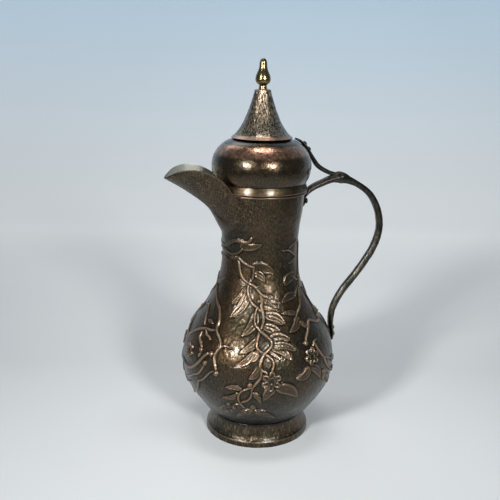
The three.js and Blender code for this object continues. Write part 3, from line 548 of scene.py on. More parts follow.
def vines(relief):
    """One side of the jug: the other mirrors it."""
    stem, leaf, bud = relief.stem, relief.leaf, relief.bud
    # Scroll on the neck, under the spout's flank
    stem(2.4, (-6, 211), (4, 212.5), (14, 211.5), (20, 213), (27, 216))
    leaf((46, 215.5), (79.5, 219.5), 8.5, -0.08)
    stem(4.6, (14, 212), (24, 215.5), (34, 220), (44, 221.5), (54, 220), (60, 221.5), (64, 225.5))
    stem(3.2, (0, 208.5), (8, 208), (20, 207.5), (30, 206), (38, 207), (45, 209.5), (50, 213))
    leaf((2, 200), (20, 199.5), 3.4)
    leaf((38, 202.5), (28.5, 202), 4.6)
    # Twisted pair of stems down the front, with its leaves
    leaf((64, 196), (98, 189), 12.5, 0.08)
    leaf((67, 190), (84, 181), 8, 0.1)
    leaf((60, 177), (43, 178.5), 7.5, -0.1)
    leaf((61, 175), (43, 157), 8.5, 0.08)
    leaf((61.5, 170), (46, 145), 11, 0.1)
    leaf((78, 158), (97, 151), 9, 0.12)
    leaf((79, 163), (99, 154.5), 5.5, 0.1)
    leaf((80, 165.5), (100.5, 158.5), 5.5, 0.08)
    leaf((79, 168), (96, 165.5), 4.8, -0.05)
    leaf((73.5, 153), (62, 131), 10.5, 0.12)
    leaf((80, 140.5), (97, 131), 11, 0.1)
    leaf((82, 150), (102.5, 140.5), 11.5, 0.12)
    leaf((76, 130), (62, 116), 8.5, 0.1)
    leaf((85, 129), (103.5, 126.5), 12.5, 0.1)
    leaf((83, 120), (93, 110.5), 7, 0.1)
    leaf((86, 122.5), (101, 109), 9.5, 0.12)
    leaf((87, 124), (107.5, 116.5), 8.5, 0.08)
    leaf((76, 120.5), (70.5, 108.5), 7, 0.1)
    leaf((73, 118.5), (59.5, 103.5), 7.5, 0.14)
    leaf((78, 106), (70, 91.5), 8, 0.12)
    stem(3.4, (66, 195.5), (67.8, 190), (66.8, 184.5), (64.5, 181), (62, 177.5), (61.2, 173),
         (62.5, 168), (66, 162.5), (70, 159), (75, 156), (79, 153), (82, 150), (85.5, 146.5))
    stem(3.8, (40, 203), (43, 200), (45, 195), (46.5, 190), (50, 185), (55, 181.5), (61, 179.3),
         (67, 177.5), (73, 174), (77.5, 169), (79.3, 164), (79, 159.5), (79.6, 155.5), (81, 151.5),
         (81.3, 146.5), (80, 141.5), (77.6, 137), (76, 132), (75.2, 127), (75.4, 122.5),
         (77.5, 119.3), (81, 116.8), (84.5, 114), (87, 110.5), (87.5, 106), (86.5, 100))
    stem(3.6, (74, 173), (78, 169.5), (82, 167), (88, 166))
    stem(3.6, (74.5, 156.5), (72.6, 152), (72.2, 147), (73.4, 142), (76.4, 138), (80, 134.7),
         (84, 131.3), (87.2, 127.5), (86.6, 123.5), (84.3, 120.2), (81.3, 117.3), (79.4, 112.8),
         (78, 108), (78, 103), (78.8, 98), (77.8, 92.5), (75.4, 87.5), (73, 83), (72, 78.5))
    stem(2.4, (78.5, 103), (80.2, 100.3), (83, 98.5))
    bud((64, 181.2), 2.2)
    bud((76.6, 162.2), 2.3)
    stem(3.4, (38, 203.5), (43, 203.2), (48, 201.3), (54, 198.4), (60, 196.4), (68, 195.2))
    bud((38.5, 203.2), 2.4)
    # Flower low on the front, and the scroll beside it
    leaf((88.5, 82), (80.5, 67.5), 9.5, -0.12)
    leaf((89, 82), (106.5, 67.5), 12.5, 0.14)
    relief.flower((86, 89), 10.2, 6, 25)
    leaf((73, 77), (78.8, 63.8), 5.5, 0.12)
    leaf((65.5, 79.5), (53, 79.5), 5, -0.1)
    leaf((64, 76), (50, 66.5), 5.5, 0.12)
    stem(2.6, (71.5, 82), (67, 79.6), (64, 76), (62.7, 70.5), (63.3, 63.5), (66.5, 56.5))
    stem(2.5, (72.4, 78), (71.4, 71.5), (68.5, 66.7), (65, 64))
    bud((71, 84.8), 2.9)
    stem(1.7, (62.3, 61), (59, 59.5), (56, 56))
    for angle, z in ((58, 54), (54, 58.4), (49.4, 54), (55, 49), (46, 50), (50.5, 46)):
        bud((angle, z), 2.3)
    leaf((73, 53), (63, 51), 4.2)
    leaf((74, 53), (84, 52.4), 4.2)
    leaf((75, 50), (92, 39.5), 6.5, 0.1)
    leaf((71, 49), (58, 40.5), 5.5, -0.1)
    bud((73, 57.5), 3.3)
    # Scrolls under the spout
    leaf((-2, 170.5), (18, 178), 5, -0.1)
    leaf((21, 137), (29, 136), 3.6)
    relief.flower((13.5, 103.5), 7.2, 5, 50)
    stem(2.4, (-7, 139), (-1, 145.5), (5, 148), (10, 143.5), (14.5, 137.5), (19.5, 132))
    stem(3.0, (3, 115.5), (7, 119.6), (12, 124), (18, 127.6), (24, 129.5), (30, 130), (36, 131.6))
    stem(2.8, (24, 129), (28, 125), (31, 124.2), (33.8, 122.4))
    stem(2.8, (21, 125), (21.4, 119.7), (24.3, 116.7), (27.4, 113), (28.4, 108), (27, 103))
    bud((27.6, 110.2), 3)
    stem(1.8, (-5, 57), (0, 59.6), (5, 62), (10, 65), (18, 69.5))
    stem(2.2, (5, 68.5), (12, 72.5), (18, 76.5), (23, 81), (28, 84.4), (31.3, 89.4), (33.2, 94),
         (34.3, 98.5))
    bud((34.3, 98.8), 2.9)
    stem(2.3, (45, 94), (41.2, 92.5), (38.4, 88.6), (35.8, 84), (32.3, 79.4), (29, 77), (27.6, 71.5),
         (26.2, 67), (23.6, 62.4), (19.6, 57.6), (14.6, 53.6), (7, 49.6), (-2, 45.5))
    stem(3.6, (-8, 87), (0, 85.8), (9, 84.5), (15, 84.6), (21, 88.2), (26, 94), (30, 100.5),
         (33, 106), (36, 109.4), (39.5, 110))
    bud((39, 110), 3)
    stem(2.4, (45, 118.8), (50, 120.3), (55, 119.6))
    stem(3.4, (-5, 173), (0, 169.4), (5, 165.5), (10, 161.2), (16, 157), (22, 153), (28, 149.5),
         (32, 145), (34.6, 140), (35.4, 134.5), (37.4, 130.5), (41, 127), (44.5, 122.8),
         (45.6, 118.6), (43.6, 114.2), (42.4, 109), (43, 103.5), (44.4, 98.6), (45.4, 93.5))
    bud((45.2, 91.8), 3.1)
    # Right panel, between the front and the handle
    leaf((135, 183), (112.5, 175), 11, -0.16)
    leaf((129, 163.5), (105, 159.8), 8.5, -0.12)
    leaf((121, 147), (101.5, 150), 5.5, -0.05)
    leaf((120, 145), (105, 132.8), 8, 0.14)
    leaf((120.5, 140.5), (125.5, 133), 4.4)
    leaf((143, 203), (123.5, 196.5), 4.6, 0.1)
    stem(2.2, (112, 211), (121, 210.8), (130, 207.5), (138, 203.5), (146, 203))
    stem(2.2, (124, 213), (132, 215.5), (142, 218), (152, 217))
    stem(2.4, (126, 162.5), (131, 166.2), (137, 170), (144, 173))
    stem(2.4, (132, 181.5), (139, 177.5), (147, 176))
    stem(3.2, (118, 145), (123, 148.4), (129, 152), (133, 157), (137, 162), (141, 168.5),
         (146, 176), (152, 184), (157, 193), (159, 202), (157, 210), (152, 217))
    leaf((117, 98), (104.6, 88), 10, 0.16)
    leaf((118, 97), (128, 80.5), 9, 0.12)
    relief.flower((120.6, 107), 9.2, 6, 10)
    stem(1.9, (124, 116.4), (127, 119.5), (130.4, 120.6))
    stem(2.0, (126.6, 118), (128, 112.5), (130, 107.5), (132.6, 102.5), (136.4, 99), (142, 95.4), (148, 91))
    stem(2.0, (134, 100), (136.4, 92.5), (139.4, 87), (144, 82), (151, 77.5))
    stem(3.2, (118.2, 121), (119.2, 124.3), (122.2, 127.8), (126, 131.6), (130, 136), (133.4, 138.2),
         (138, 136.2), (144, 133.6), (152, 133), (158, 138), (160, 147), (157, 157), (152, 166))
    bud((118, 120.8), 3)
    leaf((132, 88), (131.6, 75.5), 6, 0.1)
    leaf((136, 79), (146, 64), 6, 0.1)
    leaf((147, 91.5), (160, 84), 7, 0.1)
    leaf((150, 78), (163, 68), 7, 0.1)
    leaf((157, 157), (171, 168), 7, -0.1)
    leaf((159, 142), (172, 134), 7, 0.1)
    relief.landing((180, 88), (180, 121), 8)


# The spout: three rails from the neck to the tip as reach, half-width and height.
SPOUT_RIM = [(36.2, 33.9, 268.2), (40.4, 31.9, 275.4), (48.6, 28.2, 283.8), (61.4, 25, 290.3),
             (75.6, 23.2, 292.6), (88.2, 17.4, 290.4), (97.4, 7.6, 284.8), (100, 2.4, 282.7)]
SPOUT_CREASE = [(34.6, 26.6, 237.4), (41.4, 18.4, 240.6), (49.8, 8.2, 246), (61, 3, 256),
                (75.4, 2, 266.6), (88.8, 1.4, 275.2), (98, 0.9, 280.5), (100.2, 0.6, 281.7)]
SPOUT_KEEL = [(44.6, 0, 230.4), (48.8, 0, 239.2), (55, 0, 249.6), (63, 0, 257.6),
              (76.2, 0, 267.2), (89, 0, 275.4), (98.2, 0, 280.6), (100.4, 0, 281.6)]
SPOUT_BULGE = 3
CREASE_AT = 5 / 9  # share of the way from the rim to the keel
SPOUT_RIBS = 64
EASING_RIBS = 10


def spout_grid(angles, seam):
    """Rows of points from the seam on the neck out to the tip, one column for each seam angle."""
    rim, crease, keel = (spline(rail, SPOUT_RIBS) for rail in (SPOUT_RIM, SPOUT_CREASE, SPOUT_KEEL))
    travel = np.linspace(0, 1, SPOUT_RIBS)
    bulge = SPOUT_BULGE * np.sin(math.pi * travel) ** 1.5
    middle = (rim + crease) / 2 + np.stack([0 * bulge, 2 * bulge, -bulge], -1)
    turn = np.stack([keel[:, 0], crease[:, 1] * 0.5, keel[:, 2]], -1)
    share = np.minimum(np.abs(angles) / SEAM_ANGLE, 1)
    down = np.arccos(share ** (SEAM_POWER / 2)) / (math.pi / 2)

    def curve(a, b, c, t):
        t = t[None, :, None]
        return a[:, None] * (1 - t) ** 2 + 2 * b[:, None] * t * (1 - t) + c[:, None] * t * t

    flank = curve(rim, middle, crease, np.clip(down / CREASE_AT, 0, 1))
    gusset = curve(crease, turn, keel, np.clip((down - CREASE_AT) / (1 - CREASE_AT), 0, 1))
    ribs = np.where((down < CREASE_AT)[None, :, None], flank, gusset)
    ribs = ribs * np.stack([-np.ones_like(angles), -np.sign(angles), np.ones_like(angles)], -1)
    rows = []
    for ease in np.linspace(0, 1, EASING_RIBS + 1)[:-1]:
        straight = seam * (1 - ease) + ribs[0] * ease
        level = np.linalg.norm(ground(0 * angles, straight[:, 2])[0][:, :2], axis=1)
        flat = np.linalg.norm(straight[:, :2], axis=1)
        scale = (level + (flat - level) * ease) / flat
        rows.append(straight * np.stack([scale, scale, np.ones_like(scale)], -1))
    return np.concatenate([rows, ribs])


def relaxed(grid, rows, times):
    """Smooths a grid of points towards its neighbours, mostly near the middle of some rows."""
    weight = np.zeros(len(grid))
    weight[rows] = np.sin(np.linspace(0, math.pi, len(weight[rows]))) * 0.5
    weight = weight[1:-1, None, None]
    for _ in range(times):
        mean = (grid[:-2, 1:-1] + grid[2:, 1:-1] + grid[1:-1, :-2] + grid[1:-1, 2:]) / 4
        grid[1:-1, 1:-1] += (mean - grid[1:-1, 1:-1]) * weight
    return grid


def bridge(outer, inner, at):
    """Triangles between a dense chain of vertices and a sparse one; at[k] is inner[k]'s place."""
    outer, inner, at = outer.tolist(), inner.tolist(), at.tolist()
    faces = []
    for k, (first, last) in enumerate(zip(at, at[1:])):
        half = (first + last + 1) // 2
        faces += [(outer[m], outer[m + 1], inner[k if m < half else k + 1]) for m in range(first, last)]
        faces.append((inner[k], outer[half], inner[k + 1]))
    return faces


def shell(skin, spout, lining, spout_lining, flange, columns, ribs):
    """The jug's sheet from grids of points: the skin and spout outside, their sparser lining and the
    flange under the belly. The spout's first row is the skin's last one, up to the notch's end.
    columns and ribs are the lining's places in the outer grids. The lining's faces come last."""
    grids = [skin, spout[1:], lining, spout_lining[1:], flange]
    ids, count = [], 0
    for grid in grids:
        ids.append(numbered(*grid.shape[:2], count))
        count += ids[-1].size
    skin_ids, spout_ids, lining_ids, spout_lining_ids, flange_ids = ids
    notch, lined = spout.shape[1], spout_lining.shape[1]
    spout_ids = np.vstack([skin_ids[-1, :notch], spout_ids])
    spout_lining_ids = np.vstack([lining_ids[-1, :lined], spout_lining_ids])
    skin_ids, lining_ids, flange_ids = closed(skin_ids), closed(lining_ids), closed(flange_ids)
    columns = np.r_[columns, skin.shape[1]]
    faces = quads(skin_ids) + quads(spout_ids)
    # Along the rim, the spout's two edges and its tip, and round the bottom
    faces += bridge(skin_ids[-1, notch - 1:], lining_ids[-1, lined - 1:], columns[lined - 1:] - (notch - 1))
    faces += bridge(spout_ids[:, 0], spout_lining_ids[:, 0], ribs)
    faces += bridge(spout_ids[-1], spout_lining_ids[-1], columns[:lined])
    faces += bridge(spout_ids[::-1, -1], spout_lining_ids[::-1, -1], ribs[-1] - ribs[::-1])
    faces += bridge(skin_ids[0, ::-1], flange_ids[0, ::-1], columns[-1] - columns[::-1])
    faces += quads(flange_ids, inward=True)
    inside = quads(np.vstack([flange_ids[1], lining_ids[0]]), inward=True)
    inside += quads(lining_ids, inward=True) + quads(spout_lining_ids, inward=True)
    return np.vstack([grid.reshape(-1, 3) for grid in grids]), faces + inside, len(inside)


TURN_STEP = 0.5
ROW_STEP = 0.7
SPARSE = 4  # the lining has one row or column for this many outside
WARP_FROM = 196  # rows above this height bend to end on the spout's seam
BY_THE_SEAM = [0.04, 0.12, 0.25, 0.75, 1.25, 1.75]  # degrees from its ends to extra columns
EASED_ROWS = 16  # rows under the seam that are smoothed together with the spout
QUIET_ROWS = 6  # rows beside the seam and the rim on which relief and hammer marks fade out
CLEAR = 0.06  # the relief stays at least this far inside the profile
FLANGE_RADIUS, FLANGE_LOW, FLANGE_TOP = 38.5, 19.2, 20.6
SMOOTHING = 16  # rounds, to find how far the surface stands out of its surroundings


def sparse(count):
    return np.unique(np.r_[0:count:SPARSE, count - 1])


def relief_wear_and_shade(lift, groove, z):
    """How rubbed the high places of the relief are, and how dark its grooves and hollows: patina there,
    with painted shade round the raised forms.
    """
    around = lift.copy()
    for _ in range(SMOOTHING):
        around = (around + np.roll(around, 1, 1) + np.roll(around, -1, 1)
                  + np.vstack([around[:1], around[:-1]]) + np.vstack([around[1:], around[-1:]])) / 5
    proud, share = (lift - around) / RELIEF, lift / RELIEF
    worn = np.clip(0.04 + 1.6 * proud, 0, 1) * step(0.25, 0.6, share)
    worn = np.maximum(worn, 0.1 * step(0.3, 0.8, share)) * (0.55 + 0.45 * step(40, 110, z))
    # Dark in the chased grooves and the hollows beside raised forms: partly patina, partly painted shade
    deep = np.clip(groove * 0.9 - 2.0 * np.minimum(proud, 0) * step(0.5, 0.1, share), 0, 1) * 0.85
    return worn, deep


def build_body():
    """The belly, neck and spout in one mesh, with the vines of one side mirrored to the other."""
    half = np.arange(0, 180 + TURN_STEP / 2, TURN_STEP)
    half = np.unique(np.r_[half, SEAM_ANGLE - np.array(BY_THE_SEAM)])
    edge = int(np.flatnonzero(half == SEAM_ANGLE)[0])
    order = np.r_[np.arange(edge, -1, -1), np.arange(1, len(half)), np.arange(len(half) - 2, edge, -1)]
    sign = np.r_[-np.ones(edge), np.ones(len(half)), -np.ones(len(half) - 2 - edge)]
    angles = half[order] * sign
    notch = 2 * edge + 1
    columns = len(angles)

    lower = resampled(belly_line[belly_line[:, 1] <= WARP_FROM + 6], ROW_STEP)[:, 1]
    lower = lower[lower < WARP_FROM, None]
    upper = np.linspace(0, 1, round((RIM_HEIGHT - WARP_FROM) / ROW_STEP) + 1)[:, None]
    z = np.concatenate([lower + 0 * half, WARP_FROM + upper * (seam_top(half) - WARP_FROM)])
    rows = len(z)
    points, normals = ground(half, z)
    relief = Relief(points.reshape(-1, 3))
    vines(relief)

    # Both sides, in columns that run round from one end of the spout's seam
    lift = (relief.height.reshape(z.shape) * (inset(z) - SKIN) / (RELIEF - SKIN))[:, order]
    groove = relief.groove.reshape(z.shape)[:, order]
    z = z[:, order]
    flip = np.stack([np.ones(columns), sign, np.ones(columns)], -1)
    base, base_normals = points[:, order] * flip, normals[:, order] * flip

    spout = spout_grid(angles[:notch], base[-1, :notch])
    eased = slice(-1 - EASED_ROWS, -1)
    patch = np.concatenate([base[eased, :notch], spout])
    patch = relaxed(patch, slice(2, 2 * EASED_ROWS + 12), 40)
    base[eased, :notch] = patch[:EASED_ROWS]
    spout = patch[EASED_ROWS:]
    base[-1, :notch] = spout[0]
    spout_normals = grid_normals(spout, wrap_columns=False)
    base_normals[-1, :notch] = spout_normals[0]

    flat = base.reshape(-1, 3)
    hammer = 0.12 * grain(flat, (6, 6, 8), 1) + 0.14 * grain(flat, (2.3, 2.3, 2.8), 2)
    hammer = hammer.reshape(z.shape) * (1 - 0.8 * np.clip(lift / RELIEF, 0, 1))
    quiet = step(0, QUIET_ROWS, rows - 1 - np.arange(rows))[:, None]
    room = inset(z) - CLEAR
    skin = base + base_normals * np.minimum((lift + hammer) * quiet, room)[..., None]
    flat = spout.reshape(-1, 3)
    beaten = 0.10 * grain(flat, (5, 5, 7), 1) + 0.06 * grain(flat, (1.6, 1.6, 4), 2)
    beaten = beaten.reshape(spout.shape[:2]) * step(0, QUIET_ROWS, np.arange(len(spout)))[:, None]
    beaten[:, [0, -1]] = 0

    columns_kept = np.unique(np.r_[sparse(notch), notch - 1 + sparse(columns - notch + 1)[:-1]])
    rows_kept, ribs_kept = sparse(rows), sparse(len(spout))
    lining = (base - base_normals * SHEET)[np.ix_(rows_kept, columns_kept)]
    spout_lining = (spout - spout_normals * SHEET)[np.ix_(ribs_kept, columns_kept[columns_kept < notch])]
    turn = np.radians(angles[columns_kept])
    flange = np.stack([np.stack([-FLANGE_RADIUS * np.cos(turn), -FLANGE_RADIUS * np.sin(turn),
                                 np.full(len(turn), level)], -1) for level in (FLANGE_LOW, FLANGE_TOP)])
    points, faces, inside = shell(skin, spout + spout_normals * beaten[..., None], lining, spout_lining,
                                  flange, columns_kept, ribs_kept)

    worn, deep = relief_wear_and_shade(lift, groove, z)
    edge_shine = np.zeros(spout.shape[:2])
    edge_shine[:, [0, -1]] = 0.35
    edge_shine[-1] = 0.5
    side = step(28, 38, np.abs(angles))  # above the crease under the spout
    near_spout = side * step(95, 60, np.abs(angles)) * step(228, 246, z)
    values = {}
    for key, on_skin, on_spout in (("worn", worn, edge_shine), ("deep", deep, 0 * edge_shine),
                                   ("hatch", near_spout, side[:notch] + 0 * edge_shine)):
        outside = np.r_[on_skin.ravel(), on_spout[1:].ravel()]
        values[key] = np.pad(outside, (0, len(points) - len(outside)))
    add_piece("body_relief", points, faces, [BODY_COPPER, TIN], "jug",
              ("belly_shell", "neck_shell", "spout"), values, second=inside, sharp=50)


build_body()


# Turned pieces: the outline of each runs up its outside

FACETS = 480
LINE_STEP = 0.5


def turned_piece(name, node, body, material, outline, texture=None, worn=None, facets=FACETS,
                 sharp=40):
    """A dense turned piece in place of a CAD node. texture(points, radius) lifts its surface in mm and
    worn(points, radius) gives how rubbed and how dark it is."""
    points, faces = revolved(outline, facets, texture)
    values = {"worn": np.zeros(len(points)), "deep": np.zeros(len(points))}
    if worn:
        values["worn"], values["deep"] = worn(points, np.hypot(points[:, 0], points[:, 1]))
    add_piece(name, points, faces, [material], body, [node], values, sharp=sharp)


def sheet_outline(outer):
    """The outline of a turned sheet: its outside and, with fewer points, its inside."""
    way = np.gradient(outer, axis=0)
    way /= np.linalg.norm(way, axis=1, keepdims=True)
    inner = outer + np.stack([-way[:, 1], way[:, 0]], -1) * SHEET
    keep = np.unique(np.r_[0:len(inner):3, len(inner) - 1])
    return np.vstack([outer, inner[keep][::-1]])


def near_line(line, p, radius, depth):
    """Which points lie on a turned sheet's outside, and not within it."""
    return np.interp(p[:, 2], line[:, 1], line[:, 0]) - radius < depth


# Foot: a flared skirt with a plain band at its hem, brushed up and down with a planishing hammer
foot_outer = np.vstack([
    trace((56.1, 0), (56.5, 0, 56.7, 0.2, 56.7, 0.8), (56.7, 2.6, 56.5, 4.6, 56.1, 5.8), count=8),
    trace((55.8, 6.4), (55.6, 6.6, 55.5, 6.8, 55.4, 7.2), count=4),
    resampled(trace((55.2, 7.7), (53.5, 10.6, 52.1, 15.4, 50.9, 22.4)), 0.8),
    trace((50.95, 22.9), (50.9, 23.6, 50.5, 23.9, 50.1, 23.4), count=5),
])
foot_inner = [(49.2, 22.2), (50.5, 18.5), (52.6, 12), (54.0, 6.5), (54.6, 1.6), (51.7, 1.6), (51.7, 0)]
HEM_TOP = 7


def foot_texture(p, radius):
    z = p[:, 2]
    outside = (radius > 50.2) & (z > 0.5) & (z > 22.5 - (radius - 50.2) * 3.6)
    flank = 0.14 * grain(p, (3.6, 3.6, 9), 11) + 0.08 * grain(p, (1.6, 1.6, 5), 12) - 0.2
    hem = 0.12 * grain(p, (2.6, 2.6, 2.6), 13) - 0.12
    return np.where(z > HEM_TOP, flank, hem) * outside * step(23.2, 22, z)


def foot_wear_and_shade(p, radius):
    z = p[:, 2]
    rubbed = 0.12 * step(0.1, 0.7, grain(p, (2.4, 2.4, 9), 14)) * step(22, 18, z)
    edge = peak(z, 5.7, 0.35) * (radius > 55.5)
    line = peak(z, 7.2, 0.7) * (radius > 54)
    # The dark line in the crease above the hem and the dark top under the belly are painted shade
    return np.clip(rubbed + 0.45 * edge, 0, 0.6), np.clip(0.9 * line + step(20, 23, z), 0, 0.9)


turned_piece("foot", "foot_ring", "jug", FOOT_COPPER, np.vstack([foot_outer, foot_inner]),
             foot_texture, foot_wear_and_shade, sharp=35)

# Band on the lid's foot, with a bead that bears on the rim
BAND_TOP = 277.0
band_bead = trace((47.3, 268.85), (47.9, 268.85, 48.5, 269.2, 48.5, 269.9),
                  (48.5, 270.1, 48.4, 270.3, 48.25, 270.4), count=8)
band_flank = resampled(trace((48.1, 270.7), (47.7, 272.6, 47.1, 274.6, 46.5, 276.1)), 0.6)
band_edge = trace((46.4, 276.5), (46.3, 276.8, 46.1, BAND_TOP, 45.8, BAND_TOP), count=4)


def band_texture(p, radius):
    return (0.03 * grain(p, (5, 5, 3), 21) - 0.03) * (radius > 46) * step(BAND_TOP, 276.6, p[:, 2])


def band_wear_and_shade(p, radius):
    z = p[:, 2]
    bead = step(47.8, 48.4, radius) * (0.6 + 0.25 * grain(p, (7, 7, 7), 23)) * (z < 270.5)
    # Painted shade: the underside of the bead and the band's top edge under the dome's foot are darkened
    under = step(269.6, 269.0, z)
    dark = np.maximum(0.8 * step(276.2, BAND_TOP, z), 0.8 * under)
    return np.clip(0.02 + 0.7 * bead * (1 - under), 0, 1), dark


turned_piece("lid_band_bead", "lid_band", "lid", BAND_COPPER,
             np.vstack([band_bead, band_flank, band_edge, [(42.8, BAND_TOP), (42.8, 268.85)]]),
             band_texture, band_wear_and_shade)

# Dome, chased all over with a fine punch
dome_line = resampled(
    trace((47, 277.4), (47, 278.1), (49.6, 280.5, 51.7, 287.5, 51.7, 293.5),
          (51.7, 305, 44, 315.5, 34, 319.3), (29.6, 320.9, 27.6, 322.6, 24.4, 327)),
    LINE_STEP,
)


def dome_texture(p, radius):
    marks = 0.05 * grain(p, (1.5, 1.5, 1.1), 31) + 0.025 * grain(p, (0.8, 0.8, 0.7), 32)
    marks += 0.1 * grain(p, (9, 9, 7), 33) - 0.18
    marks *= near_line(dome_line, p, radius, 0.6)
    return marks * step(277.6, 280, p[:, 2]) * step(326.5, 322, p[:, 2])


def dome_wear_and_shade(p, radius):
    shoulder = step(304, 308, p[:, 2]) * step(317, 315, p[:, 2]) * near_line(dome_line, p, radius, 0.8)
    patchy = 0.8 + 0.7 * grain(p, (1.8, 1.8, 2.2), 35)
    # The dark from 317 mm up, round the spire's lip, is painted shade
    return np.clip(0.75 * shoulder * patchy, 0, 0.95), 0.85 * step(317, 320, p[:, 2])


turned_piece("lid_dome_chased", "lid_dome", "lid", LID_COPPER, sheet_outline(dome_line),
             dome_texture, dome_wear_and_shade)

# Spire, drawn up with long hammer strokes, with a rubbed lip over the dome
spire_line = resampled(
    trace((31.55, 322.2), (27.2, 324.8, 22.2, 331.9, 18.4, 339.9), (14.8, 347.8, 11.2, 358.2, 8.7, 368.0)),
    0.6,
)
spire_top = trace((8.7, 368.0), (8.7, 369.0, 7.9, 369.7, 6.9, 369.8), (4.6, 369.85), (2.1, 369.85), count=5)
spire_inside = [(2.1, 368.2), (6.0, 368.0), (7.7, 366), (12.3, 352.5), (17.1, 339.4), (20.6, 332.6),
                (24.4, 327.7), (27.0, 324.6), (30.0, 322.2)]
spire_lip = trace((30.8, 321.6), (31.3, 321.6, 31.6, 321.8, 31.55, 322.2), count=4)


def spire_texture(p, radius):
    around = radius * 0.09  # the strokes get narrower towards the top
    size = np.stack([around, around, 0 * radius + 12], -1)
    strokes = 0.22 * grain(p / np.maximum(size, 0.5), 1, 41) + 0.1 * grain(p, (0.9, 0.9, 5), 42) - 0.3
    strokes *= near_line(spire_line, p, radius, 0.5)
    return strokes * step(323, 325.5, p[:, 2]) * step(369, 367, p[:, 2])


def spire_worn(p, radius):
    lip = step(27, 30.5, radius) * (0.65 + 0.4 * grain(p, (5, 5, 5), 44)) + 0.6 * peak(p[:, 2], 368.7, 0.7)
    streak = 0.12 * step(0.0, 0.6, grain(p, (1.1, 1.1, 9), 43)) * step(322, 326, p[:, 2])
    return np.clip(lip * 0.85 + streak, 0, 0.9), np.zeros(len(p))


turned_piece("lid_spire_hammered", "lid_spire", "lid", SPIRE_COPPER,
             np.vstack([spire_lip[:-1], spire_line, spire_top[1:], spire_inside]),
             spire_texture, spire_worn)

# Finial of polished brass
finial_line = trace(
    (0, 364.2), (1.8, 364.2), (1.8, 370.15), (4.4, 370.15), (4.4, 371.3, 3.4, 372.7, 4.2, 374.1),
    (6.4, 375.2, 7.85, 377.2, 7.7, 380.0), (7.3, 385.4, 4.4, 387.0, 3.9, 393),
    (3.9, 397.6, 2.7, 399.95, 0, 399.95), count=14,
)
turned_piece("finial_bud", "finial", "lid", BRASS, finial_line, facets=72, sharp=45)

# Wire round the mouth, open at the spout
WIRE_RING, WIRE_RADIUS, WIRE_ENDS = 46.8, 1.15, 128.5
turn = np.radians(np.linspace(-WIRE_ENDS, WIRE_ENDS, 400))[:, None]
round_it = np.linspace(0, 2 * math.pi, 16, endpoint=False)
reach = WIRE_RING + WIRE_RADIUS * np.cos(round_it)
height = RIM_HEIGHT - 1.25 + WIRE_RADIUS * np.sin(round_it)
wire = np.stack([np.cos(turn) * reach, np.sin(turn) * reach, height + 0 * turn], -1)
wire_points, wire_faces = capped_tube(wire, inward=True)
wire_values = {"worn": 0.25 + 0.15 * grain(wire_points, (9, 9, 9), 51), "deep": np.zeros(len(wire_points))}
add_piece("rim_wire_soldered", wire_points, wire_faces, [BAND_COPPER], "jug",
          ["rim_wire"], wire_values)


# Forged bars in the XZ plane, as stations (x, z, width, thickness)

HANDLE = [
    (45.6, 249, 5, 2.6), (46.7, 253, 9.6, 3.4), (46.9, 258.6, 10.2, 3.4), (53.6, 267.2, 9.2, 6.8),
    (67.6, 274, 9.2, 7.2), (77.4, 277.6, 10.8, 8.2), (87, 278.9, 14, 12.4), (96.4, 275.8, 11, 8.4),
    (106.4, 271.2, 9.2, 6.8), (121.2, 260.2, 9.2, 6.8), (131.8, 241.4, 9.4, 7), (134.8, 221.6, 9.6, 7.2),
    (128.8, 200.2, 9.6, 7.4), (112.4, 174.4, 9.6, 7.4), (94, 150.4, 9.6, 7.2), (84.6, 131, 9.6, 6.8),
    (83, 115.6, 11.4, 5.4), (84.6, 103, 12, 4.4), (85.2, 94.6, 5.6, 3.8),
]
STRAP = [
    (35.4, 320.4, 4, 2.4), (39.8, 318.4, 9, 3), (45.2, 314.2, 10.4, 3.4), (52.4, 303.6, 8.4, 4.2),
    (61, 291.8, 7.6, 5), (73, 284.8, 5, 4.8), (84.6, 281.4, 5, 4.4),
]
HINGE_X, HINGE_Z = 87, 279.5
RIDGE = 0.42  # how far in from a bar's side its face's ridge lies, as a share of the half-width
# Piece, node and body, then x, z, tilt, grip, radius of the shank and of the head, and the dome's height
RIVETS = [
    ("neck_rivet", "handle_rivet_upper", "jug", 48.7, 254.8, 0, 5.65, 1.7, 3.2, 2.4),
    ("landing_rivet_a", "handle_rivet_lower_a", "jug", 86.1, 109.4, 0.1, 10.3, 1.6, 2.7, 1.5),
    ("landing_rivet_b", "handle_rivet_lower_b", "jug", 86.9, 101.6, 0.05, 8.85, 1.6, 2.7, 1.5),
    ("dome_rivet_a", "strap_rivet_upper", "lid", 46.1, 315.7, 0.72, 6.5, 1.4, 2.4, 1.4),
    ("dome_rivet_b", "strap_rivet_lower", "lid", 50.8, 309.8, 0.57, 6.1, 1.4, 2.4, 1.4),
]
PLAY = 0.3  # round a rivet's shank


def bar_course(stations, rings):
    """The middle, outward direction, half-width and half-thickness of a bar at each of its rings."""
    middle = spline([(x, 0, z) for x, z, _, _ in stations], rings)
    size = spline([(w / 2, t / 2, 0) for _, _, w, t in stations], rings)
    way = np.gradient(middle, axis=0)
    way /= np.linalg.norm(way, axis=1, keepdims=True)
    outward = np.stack([-way[:, 2], 0 * way[:, 0], way[:, 0]], -1)
    return middle, outward, size[:, 0], size[:, 1]


